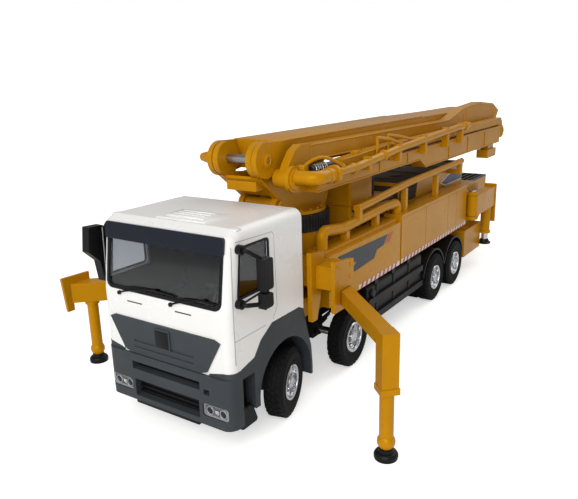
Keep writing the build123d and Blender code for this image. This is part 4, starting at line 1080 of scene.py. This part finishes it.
@dataclass
class Superstructure:
    """Decals, warning tape, seams and fittings of the body behind the cab."""

    palette: Palette
    tape_z: Pair = (39.7, 42.1)
    tape_pitch: float = 5.2
    hood_half: float = 22.0

    def decals(self) -> None:
        """Slate shape with two red stripes on the front panels, and a blue shape on the hood."""
        slate = ((-46.4, 62.9), (-102.0, 61.8), (-96.6, 56.8), (-88.6, 56.2), (-85.1, 52.2), (-62.6, 50.9),
                 (-61.4, 53.4), (-65.5, 55.5), (-46.7, 58.4))
        stripe = ((-103.6, 61.9), (-105.4, 62.0), (-100.4, 57.1), (-98.6, 57.0))
        blue = ((-219.0, 71.2), (-233.0, 75.0), (-261.0, 78.4), (-261.0, 68.9), (-228.0, 69.0))
        edge = ((-216.4, 71.3), (-232.4, 75.9), (-261.6, 79.4), (-261.6, 68.3), (-227.4, 68.3))
        for name, finish, shapes, y, thick in (
            ("panel_marks", "decal_slate", (slate,), SIDE_Y, 0.1),
            ("panel_stripes", "decal_red", (stripe, [(a - 3.4, z) for a, z in stripe]), SIDE_Y, 0.1),
            ("hood_marks", "decal_blue", (blue,), self.hood_half, 0.14),
            ("hood_mark_edges", "decal_white", (edge,), self.hood_half, 0.08),
        ):
            plates = [Bench.plate(shape, side.value * y, thick, 0) for side in Side for shape in shapes]
            self.palette.dress(name, plates, finish, slot="amber_paint")

    def tape(self) -> None:
        """Red and white slanted warning tape along the foot of the side panels."""
        low, high = self.tape_z
        white, red = [], []
        for start, end in ((-68.0, -118.6), (-121.4, -234.6)):
            for y in (SIDE_Y, -SIDE_Y):
                white.append(Bench.plate(oblong(start, end, low, high), y, 0.06, 0))
                for n in range(int((start - end) / self.tape_pitch)):
                    ahead = start - 1.6 - n * self.tape_pitch
                    slant = ((ahead, low), (ahead - 1.5, high), (ahead - 3.9, high), (ahead - 2.4, low))
                    red.append(Bench.plate(slant, y, 0.1, 0))
        self.palette.dress("tape_white", white, "decal_white", slot="amber_paint")
        self.palette.dress("tape_red", red, "decal_red", slot="amber_paint")

    def panels(self) -> None:
        """Seams on the side panels, the hood's louvres, ribs and filler caps, and a dark brown cover on the
        hood's top and plate on its front that are painted shade of the boom.
        """
        runs = [((ahead, 67.4), (ahead, 43.2)) for ahead in (-158.0, -197.0, -214.0)]
        runs.append(((-122.6, 66.6), (-233.4, 66.6)))
        seams, vents_and_painted_shade = [], []
        for side in Side:
            y = side.value * self.hood_half
            seams += [Bench.trace(run, side.value * (SIDE_Y - 0.03), 0.14) for run in runs]
            grille = [(-147.0, 69.0), (-147.0, 79.8), (-176.0, 79.8), (-172.0, 69.0)]
            vents_and_painted_shade.append(Bench.plate(grille, y, 0.12, 0))
            heights = [69.8 + n * 1.6 for n in range(6)]
            vents_and_painted_shade += [Bench.plate(oblong(-148.4, -171.6, z, z + 0.8), y, 0.7, 0.12) for z in heights]
        # Dark brown cover over the hood's top and plate on its front: painted shade that the boom casts there.
        vents_and_painted_shade.append(Bench.block((-260.4, -19.8, 81.8), (-147.6, 19.8, 82.25), 0.15))
        vents_and_painted_shade.append(Bench.block((-146.3, -21.4, 60.0), (-145.8, 21.4, 80.0), 0.15))
        for ahead in (-160.0, -190.0, -220.0, -250.0):
            vents_and_painted_shade.append(Bench.block((ahead - 1.5, -19.4, 82.0), (ahead + 1.5, 19.4, 82.7), 0.25))
        for place in ((-172.0, 8.0, 82.0), (-206.0, -8.0, 82.0)):
            vents_and_painted_shade.append(Bench.turned([(4.0, 0), (4.0, 0.6), (3.2, 1.0), (1.2, 1.1)], place, UP, 28))
        self.palette.dress("panel_seams", seams, "seam_deep", slot="amber_paint")
        self.palette.dress("hood_vents_and_painted_shade", vents_and_painted_shade, "vent_and_painted_shade_brown", slot="black_metal")

    def controls(self) -> None:
        """Valves, rails, hoses and filters on the block behind the turret."""
        face, parts = 20.0, []
        valve = [(1.9, 0), (1.9, 1.4), (1.3, 1.7), (1.3, 2.6), (0.9, 2.9)]
        for side in Side:
            for n in range(5):
                ahead, z = -92.0 - 9.4 * n, 70.0 - 1.6 * (n % 2)
                feed = (
                    (ahead, face + 1.4, z), (ahead, face + 2.2, z - 6.0), (ahead - 3.0, face + 1.2, z - 16.0),
                )
                parts.append(Bench.turned(valve, side.place(ahead, face, z), side.out, 14))
                parts.append(Bench.line([side.place(*point) for point in feed], 0.7))
            rail = ((-88.0, 76.0), (-112.0, 76.6), (-137.0, 75.4))
            parts.append(Bench.line([side.place(ahead, face + 1.6, z) for ahead, z in rail], 0.9))
        for n, y in enumerate((-6.0, 2.0, 10.0)):
            parts.append(Bench.line([
                (-108.0 + 2.0 * n, y, 90.6), (-110.0, y + 0.6, 94.0), (-116.0, y + 1.0, 93.4),
                (-119.8, y, 88.0), (-119.8, y, 78.4),
            ], 1.0))
        for ahead, y, tall in ((-129.0, 10.0, 9.0), (-128.0, -4.0, 7.0)):
            profile = [(3.2, 0), (3.2, tall), (2.6, tall + 1.0), (1.0, tall + 1.4)]
            parts.append(Bench.turned(profile, (ahead, y, 77.8), UP, 22))
        self.palette.dress("control_valves", parts, "black_metal")

    def underside(self) -> None:
        """Axle housings, springs, shaft, tank straps and caps in black."""
        parts = []
        housing = [(3.2, -4.6), (5.4, -3.0), (6.0, 0), (5.4, 3.0), (3.2, 4.6)]
        for ahead in REAR_AXLES:
            parts.append(Bench.rod((ahead, -16.2, AXLE_HEIGHT), (ahead, 16.2, AXLE_HEIGHT), 3.0, 16, 0.6))
            parts.append(Bench.turned(housing, (ahead, 0, AXLE_HEIGHT), LEFTWARD))
            for side in Side:
                for reach, top in ((13.0, 21.0), (10.0, 19.9), (7.0, 18.8)):
                    end = top + reach * 0.12
                    leaf = ((ahead - reach, end), (ahead, top - 1.2), (ahead + reach, end))
                    parts.append(Bench.line([side.place(a, 15.4, z) for a, z in leaf], 0.7))
        parts.append(Bench.rod((-34.0, 0, 21.0), (-165.0, 0, 17.0), 1.8, 14))
        filler = [(2.4, 0), (2.4, 1.2), (2.0, 1.7), (0.8, 1.8)]
        air_tank = [(2.6, 0), (4.0, 1.2), (4.2, 2.4), (4.2, 20.0), (4.0, 21.2), (2.6, 22.4)]
        for side in Side:
            for ahead in (-92.0, -114.0, -136.0):
                strap = side.place(ahead - 1.0, 33.5, 14.8), side.place(ahead + 1.0, 34.5, 35.6)
                parts.append(Bench.block(*strap, 0.25))
            parts.append(Bench.turned(filler, side.place(-86.0, 33.8, 32.0), side.out, 20))
            parts.append(Bench.turned(air_tank, side.place(-76.6, 19.0, 30.0), -FORWARD, 22))
        self.palette.dress("underside", parts, "chassis_paint")

    def build(self) -> None:
        """Make all of it."""
        for step in (self.decals, self.tape, self.panels, self.controls, self.underside):
            step()


@dataclass
class Stance:
    """Collars, pins and bolts of the outriggers."""

    palette: Palette
    front_leg: Pair = (5.0, 86.0)
    rear_leg: Pair = (-276.0, 38.0)
    rear_pin: Pair = (-241.6, 38.0)

    def build(self) -> None:
        """Make the fittings of the four outriggers."""
        for side in Side:
            name = side.label
            rim = Bench.turned([(4.6, 1.9), (4.9, 1.6), (4.9, 0.6), (4.65, 0.3)],
                               side.place(*self.front_leg, 0.2), UP, 32, closed=True)
            self.palette.dress(f"foot_rim_{name}", [rim], "black_plastic", f"jack_front_{name}")
            pin = [
                Bench.turned([(3.0, 0), (3.0, 0.7), (2.4, 1.1), (1.0, 1.2)], side.place(*self.rear_pin, 62.5)),
                Bench.turned([(0.7, 0), (0.7, 0.5), (0.5, 0.7)], side.place(*self.rear_pin, 63.6), steps=6),
            ]
            self.palette.dress(f"rear_pin_{name}", pin, "steel_pin", slot="rod_chrome")
            gland = Bench.turned([(4.3, 0), (4.3, 1.6), (3.9, 2.0), (2.75, 2.0), (2.75, 0)],
                                 side.place(*self.rear_leg, 24.4), closed=True)
            self.palette.dress(f"rear_gland_{name}", [gland], "amber_paint", f"arm_rear_{name}")
            shoe = Bench.turned([(4.7, 0), (5.0, 0.4), (5.0, 1.0), (4.5, 1.3), (2.7, 2.2)],
                                side.place(*self.rear_leg, 15.8))
            self.palette.dress(f"rear_shoe_{name}", [shoe], "black_plastic", f"jack_rear_{name}")
        bolts, head = [], [(0.8, 0), (0.8, 0.5), (0.55, 0.75)]
        for side in Side:
            for ahead, z in ((-23.6, 66.0), (-34.6, 64.6), (-23.6, 58.6), (-34.0, 59.0)):
                bolts.append(Bench.turned(head, side.place(ahead, 48.7, z), side.out, 6))
            for ahead in (-22.0, -36.0):
                weld = [side.place(ahead, y, 65.1) for y in (38.2, 46.6)]
                bolts.append(Bench.line(weld, 0.35, smooth=False))
        self.palette.dress("housing_bolts", bolts, "amber_paint")


@dataclass
class BoomTrim:
    """Plates, pins, pipes and bolts of the turret and the four boom sections."""

    palette: Palette
    slew_axis: float = -58.0
    luff_foot: Pair = (-34.0, 88.0)
    luff_eye: Pair = (-80.5, 101.6)
    pin_a: Pair = (-20.5, 111.3)
    pin_b: Pair = (-28.0, 102.5)
    pin_c: Pair = (-337.0, 112.0)
    pin_d: Pair = (-333.0, 98.5)

    @staticmethod
    def cap(pin: Pair, y: float, radius: float, bolts: int = 0) -> list[Piece]:
        """Round cap on a pin's outer end, with a ring of bolts or a socket.

        Args:
            pin: distance ahead and height of the pin.
            y: Y of the face that the cap sits on.
            radius: radius of the cap.
            bolts: number of bolts; none gives a socket.

        Returns:
            The cap's parts.
        """
        side = Side(math.copysign(1, y))
        place = (pin[0], y, pin[1])
        if not bolts:
            socket = [(radius, 0), (radius, 0.4), (radius * 0.85, 0.7), (radius * 0.5, 0.7),
                      (radius * 0.4, 0.1)]
            return [Bench.turned(socket, place, side.out, 28)]
        disc = [(radius, 0), (radius, 0.5), (radius * 0.88, 0.8), (radius * 0.3, 0.85)]
        ring = arc(pin, radius * 0.62, (math.tau * (n + 0.5) / bolts for n in range(bolts)))
        return [Bench.turned(disc, place, side.out, 28)] + [
            Bench.turned([(0.5, 0), (0.5, 0.4), (0.32, 0.6)], (ahead, y + 0.7 * side.value, z), side.out, 6)
            for ahead, z in ring
        ]

    @staticmethod
    def ribs(places: Iterable[float], low: float, high: float, y: float, thick: float,
             ease: float) -> list[Piece]:
        """Upright ribs on the side of a section, between two heights."""
        return [Bench.plate(oblong(ahead, ahead - 1.4, low, high), y, thick, ease) for ahead in places]

    def turret(self) -> None:
        """Bolts round the turret's foot, cheek edges and the luffing cylinder's pin ends."""
        bolts = arc((self.slew_axis, 0), 17.2, (math.tau * n / 20 for n in range(20)))
        parts = [Bench.turned([(0.8, 0), (0.8, 0.6), (0.5, 0.85)], (*spot, 82.9), UP, 6) for spot in bolts]
        for side in Side:
            parts += self.cap(self.luff_foot, side.value * 11.7, 2.6)
            for run in (((-40.0, 83.0), (-33.5, 91.4), (-19.0, 103.0)),
                        ((-76.0, 83.0), (-79.4, 91.8), (-60.0, 101.4), (-36.0, 103.0))):
                parts.append(Bench.trace(run, side.value * 11.0, 0.6))
        self.palette.dress("turret_trim", parts, "amber_paint", Body.TURRET)
        ring = Bench.turned([(20.2, 0), (20.2, 0.7), (19.6, 1.0), (18.6, 1.0), (18.6, 0)],
                            (self.slew_axis, 0, 72.4), UP, 64, closed=True)
        self.palette.dress("ring_foot", [ring], "black_metal")

    def first(self) -> None:
        """Cover plates, pin ends and ribs of the first section."""
        ahead, z = self.pin_a
        parts = [
            Bench.block((-332.0, -14.3, 117.6), (-198.0, 14.3, 118.2), 0.2),
            Bench.block((-200.0, -14.3, 118.5), (-33.0, 14.3, 119.2), 0.2),
            Bench.block((-332.0, -14.3, 105.0), (-90.0, 14.3, 105.7), 0.2),
            *self.ribs((-70.0, -128.0, -186.0, -244.0, -302.0), 105.8, 117.2, -14.0, 0.7, 0.15),
            *self.cap(self.pin_a, 14.5, 3.0),
            *self.cap(self.pin_c, -14.0, 4.4, 6),
        ]
        self.palette.dress("boom_1_trim", parts, "amber_paint", Body.FIRST)
        sleeve = [
            Bench.rod((ahead, -7.9, z), (ahead, 7.9, z), 2.15, 24),
            Bench.turned([(1.3, 0), (1.3, 0.4), (0.6, 0.4)], (ahead, 14.5, z), LEFTWARD, 6),
        ]
        self.palette.dress("pin_a_sleeve", sleeve, "steel_pin", Body.FIRST, "rod_chrome")

    def second(self) -> None:
        """Edges, hump plates and pin cap of the second section."""
        top = ((-46.0, 115.9), (-225.0, 114.1), (-232.0, 114.4), (-262.0, 121.0), (-300.0, 122.9),
               (-335.0, 120.1), (-350.6, 114.0))
        foot = ((-46.0, 109.0), (-200.0, 106.9), (-330.0, 106.5))
        doubler = ((-268.0, 109.0), (-268.0, 119.6), (-306.0, 121.4), (-330.0, 119.0), (-343.0, 113.0),
                   (-330.0, 108.4))
        parts = [Bench.trace(run, y, 0.5) for run, y in ((top, 15.1), (top, 21.4), (foot, 21.4))]
        parts += self.cap(self.pin_c, 21.5, 5.2, 6)
        parts += self.ribs((-250.0, -262.0, -318.0), 107.4, 116.0, 21.5, 0.45, 0.1)
        parts.append(Bench.plate(doubler, 21.4, 0.5, 0.2))
        self.palette.dress("boom_2_trim", parts, "amber_paint", Body.SECOND)

    def third(self) -> None:
        """Pin plate, edges, ribs, hose loops and their brackets on the third section."""
        outer = 31.0
        parts = self.cap(self.pin_b, 24.2, 5.0, 6) + self.cap(self.pin_d, 30.9, 3.6)
        for run in (((-37.0, 102.6), (-325.0, 102.6)), ((-37.0, 96.0), (-156.0, 96.0)),
                    ((-157.0, 96.0), (-166.0, 90.6), (-325.0, 90.6))):
            parts.append(Bench.trace(run, outer - 0.1, 0.5))
        parts += self.ribs((-100.0, -137.0), 96.4, 102.4, outer, 0.5, 0.12)
        parts += self.ribs((-206.0, -245.0, -285.0), 91.2, 102.4, outer, 0.5, 0.12)
        for ahead in (-98.0, -112.0):
            bracket = ((ahead + 1.4, 101.0), (ahead + 0.8, 115.4), (ahead - 0.8, 115.4), (ahead - 1.4, 101.0))
            parts.append(Bench.plate(bracket, 30.1, 0.9))
        for hose in (
            ((-98.0, 30.6, 114.6), (-107.0, 31.6, 113.8), (-116.0, 32.4, 111.6), (-123.0, 33.4, 108.6)),
            ((-112.0, 30.6, 114.9), (-123.0, 31.8, 113.4), (-135.0, 32.8, 110.9), (-144.0, 33.4, 109.0)),
            ((-33.0, 26.0, 108.0), (-38.0, 28.6, 111.6), (-47.0, 32.0, 110.2), (-54.0, 34.6, 105.4)),
        ):
            ahead, y, z = hose[-1]
            parts.append(Bench.line(hose, 0.85))
            parts.append(Bench.rod((ahead + 1.2, y, z + 0.8), hose[-1], 1.2, 8))
        parts.append(Bench.block((-35.0, 22.6, 104.6), (-31.0, 27.0, 108.4)))
        parts.append(Bench.turned([(3.4, 0), (3.75, 0.3), (3.75, 1.1), (3.4, 1.4)], (-38.0, 35.5, 103.4),
                                  FORWARD, 28, closed=True))
        for place in ((-66.0, 33.6, 103.0), (-100.0, 33.6, 105.6)):
            collar = [(2.6, 0), (2.8, 0.3), (2.8, 1.6), (2.6, 1.9), (1.9, 1.9), (1.9, 0)]
            parts.append(Bench.turned(collar, place, Vector((1, 0, -0.07)), 22, closed=True))
        self.palette.dress("boom_3_trim", parts, "amber_paint", Body.THIRD)
        y, z = 26.6, 105.4
        actuator = [
            Bench.rod((-37.0, y, z), (-58.0, y, z), 2.0, 18),
            Bench.block((-54.0, 24.4, 102.4), (-42.0, 28.8, 104.0)),
        ]
        self.palette.dress("boom_3_actuator", actuator, "black_metal", Body.THIRD)
        turns = arc((y, z), 2.3, (math.tau * n / 12 for n in range(73)))
        coil = Bench.line([(-39.0 - 0.16 * n, *point) for n, point in enumerate(turns)], 0.4)
        self.palette.dress("boom_3_coil", [coil], "steel_pin", Body.THIRD, "rod_chrome")

    def fourth(self) -> None:
        """Edges, tabs and pin cap of the fourth section."""
        run = ((-63.0, 107.2), (-110.0, 109.1), (-332.0, 109.1))
        parts = self.cap(self.pin_d, 29.5, 2.4) + [Bench.trace(run, y, 0.45) for y in (24.2, 29.4)]
        for ahead in (-80.0, -130.0, -180.0, -230.0, -280.0):
            parts.append(Bench.block((ahead - 2.0, 25.0, 108.0), (ahead + 2.0, 28.6, 109.9), 0.25))
        self.palette.dress("boom_4_trim", parts, "amber_paint", Body.FOURTH)

    def cylinder(self) -> None:
        """Gland and welded end of the luffing cylinder."""
        base, eye = (Vector((ahead, 0, z)) for ahead, z in (self.luff_foot, self.luff_eye))
        along = (eye - base).normalized()
        gland = [(3.4, 0), (3.8, 0.4), (3.8, 2.4), (3.4, 2.8), (2.1, 2.8), (2.1, 0)]
        self.palette.dress("luff_trim", [
            Bench.turned(gland, eye - along * 8.0, along, 28, closed=True),
            Bench.turned([(3.3, 0), (3.7, 0.3), (3.7, 1.5), (3.3, 1.8)], base + along * 7.0, along, 28),
        ], "amber_paint", "luff_barrel")

    def build(self) -> None:
        """Make all of it."""
        for step in (self.turret, self.first, self.second, self.third, self.fourth, self.cylinder):
            step()


@dataclass
class RearEnd:
    """Lamps, hopper fittings and flaps at the rear."""

    palette: Palette
    shaft: Pair = (-302.0, 41.0)

    def build(self) -> None:
        """Make the pieces of the rear."""
        red, amber, dark, steel = [], [], [], []
        for side in Side:
            for low, high, parts in ((30.6, 34.6, red), (26.2, 30.2, amber), (22.4, 25.8, red)):
                parts.append(Bench.block(side.place(-272.9, low, 26.4), side.place(-271.8, high, 31.0), 0.4))
            dark.append(Bench.block(side.place(-272.3, 21.6, 25.8), side.place(-271.6, 35.2, 31.6)))
            dark.append(Bench.block(side.place(-231.0, 16.0, 8.0), side.place(-230.2, 35.0, 20.0), 0.2))
            bearing = [(5.0, 0), (5.0, 0.8), (4.2, 1.2), (2.0, 1.3), (2.0, 2.4), (1.6, 2.6)]
            steel.append(Bench.turned(bearing, side.place(self.shaft[0], 22.9, self.shaft[1]), side.out, 28))
            for ahead, z in arc(self.shaft, 3.9, (math.tau * n / 6 for n in range(6))):
                bolt = [(0.5, 0), (0.5, 0.5), (0.3, 0.7)]
                steel.append(Bench.turned(bolt, side.place(ahead, 23.9, z), side.out, 6))
            grab = ((-281.0, 40.0), (-283.4, 41.0), (-283.4, 57.0), (-281.0, 58.0), (-279.6, 58.0))
            dark.append(Bench.line([side.place(ahead, 28.6, z) for ahead, z in grab], 0.6))
        ahead, z = self.shaft
        agitator = [Bench.rod((ahead, -21.0, z), (ahead, 21.0, z), 1.4, 14)]
        for n, (tip, rise) in enumerate(arc(self.shaft, 8.0, (n * 1.3 for n in range(5)))):
            y = -16.0 + 8.0 * n
            agitator.append(Bench.rod((ahead, y, z), (tip, y, rise), 0.9, 10))
        self.palette.dress("agitator", agitator, "steel_pin", slot="rod_chrome")
        self.palette.dress("tail_lamps_red", red, "lamp_red", slot="lamp_lens")
        self.palette.dress("tail_lamps_amber", amber, "lamp_amber", slot="lamp_lens")
        self.palette.dress("rear_flaps", dark, "black_plastic")
        self.palette.dress("hopper_bearings", steel, "black_metal")


@dataclass
class Studio:
    """Pale floor, soft lamps and the camera of the photograph."""

    eye: Place = (203.71, 177.53, 147.35)
    turn: Place = (74.390, 1.547, 123.849)
    target: Place = (-150, 0, 60)
    lens: float = 38.626
    floor_size: float = 6.0

    def build(self) -> None:
        """Make the floor, the lamps, the world and the camera."""
        scene = bpy.context.scene
        scene.view_settings.view_transform = "Standard"
        Bench.clear()
        bpy.ops.mesh.primitive_plane_add(size=self.floor_size, location=(0, 0, 0))
        floor = bpy.context.object
        floor.name = "floor"
        floor.data.materials.append(self._paper())
        for name, place, size, power in (
            ("key", (800, 350, 570), 0.9, 7.6),
            ("fill", (900, -300, 500), 1.0, 2.0),
            ("back", (-700, 100, 900), 1.0, 4.2),
        ):
            light = bpy.data.lights.new(name, "AREA")
            light.shape = "DISK"
            light.size = size
            light.energy = power
            lamp = bpy.data.objects.new(name, light)
            lamp.location = at(*place)
            lamp.rotation_mode = "QUATERNION"
            lamp.rotation_quaternion = (at(*self.target) - lamp.location).to_track_quat("-Z", "Y")
            bpy.context.collection.objects.link(lamp)
        self._world(scene)
        camera = bpy.data.objects.new("camera", bpy.data.cameras.new("camera"))
        camera.data.sensor_width = 36.0
        camera.data.lens = self.lens
        camera.data.clip_start = 0.01
        camera.location = at(*self.eye)
        camera.rotation_euler = [math.radians(angle) for angle in self.turn]
        bpy.context.collection.objects.link(camera)
        scene.camera = camera

    @staticmethod
    def _paper() -> bpy.types.Material:
        """White paper that is white to the camera and keeps the model's shadow.

        Returns:
            The material.
        """
        paper = bpy.data.materials.new("paper")
        paper.use_nodes = True
        nodes, graph = paper.node_tree.nodes, Graph(paper.node_tree)
        shader = graph.wire(nodes["Principled BSDF"], {"Base Color": (0.86, 0.86, 0.85, 1), "Roughness": 0.9})
        reach = graph.add("VectorMath", {0: graph.place()}, operation="LENGTH")
        rise = graph.add("MapRange", {
            "Value": reach.outputs["Value"], "From Min": 0.3, "From Max": 1.1, "To Min": 0.5, "To Max": 1.0,
        })
        glow = graph.add("Emission", {"Strength": rise.outputs["Result"]})
        both = graph.add("AddShader", {0: shader.outputs["BSDF"], 1: glow.outputs["Emission"]})
        seen = graph.add("LightPath").outputs["Is Camera Ray"]
        mix = graph.add("MixShader", {"Fac": seen, 1: shader.outputs["BSDF"], 2: both.outputs["Shader"]})
        graph.wire(nodes["Material Output"], {"Surface": mix.outputs["Shader"]})
        return paper

    @staticmethod
    def _world(scene: bpy.types.Scene) -> None:
        """White surroundings, plain to the camera and soft on the model.

        Args:
            scene: the scene that gets them.
        """
        world = bpy.data.worlds.new("surroundings")
        scene.world = world
        world.use_nodes = True
        graph = Graph(world.node_tree)
        path = graph.add("LightPath").outputs
        rays = {0: path["Is Camera Ray"], 1: path["Is Transmission Ray"]}
        seen = graph.add("Math", rays, operation="MAXIMUM")
        strength = graph.add("MapRange", {"Value": seen.outputs["Value"], "To Min": 0.36, "To Max": 1.0})
        graph.wire(world.node_tree.nodes["Background"], {
            "Color": (1, 1, 1, 1), "Strength": strength.outputs["Result"],
        })


def main() -> None:
    """Dress the model, set up the studio and shade the imported parts smooth by angle."""
    logging.basicConfig(level=logging.INFO, format="%(name)s: %(message)s")
    palette = Palette()
    for part in (Wheels, Cab, Superstructure, Stance, BoomTrim, RearEnd):
        part(palette).build()
    Studio().build()
    for piece in frame["nodes"].values():
        Bench.smooth(piece, PACKED_CREASE)


if __name__ == "__main__":
    main()
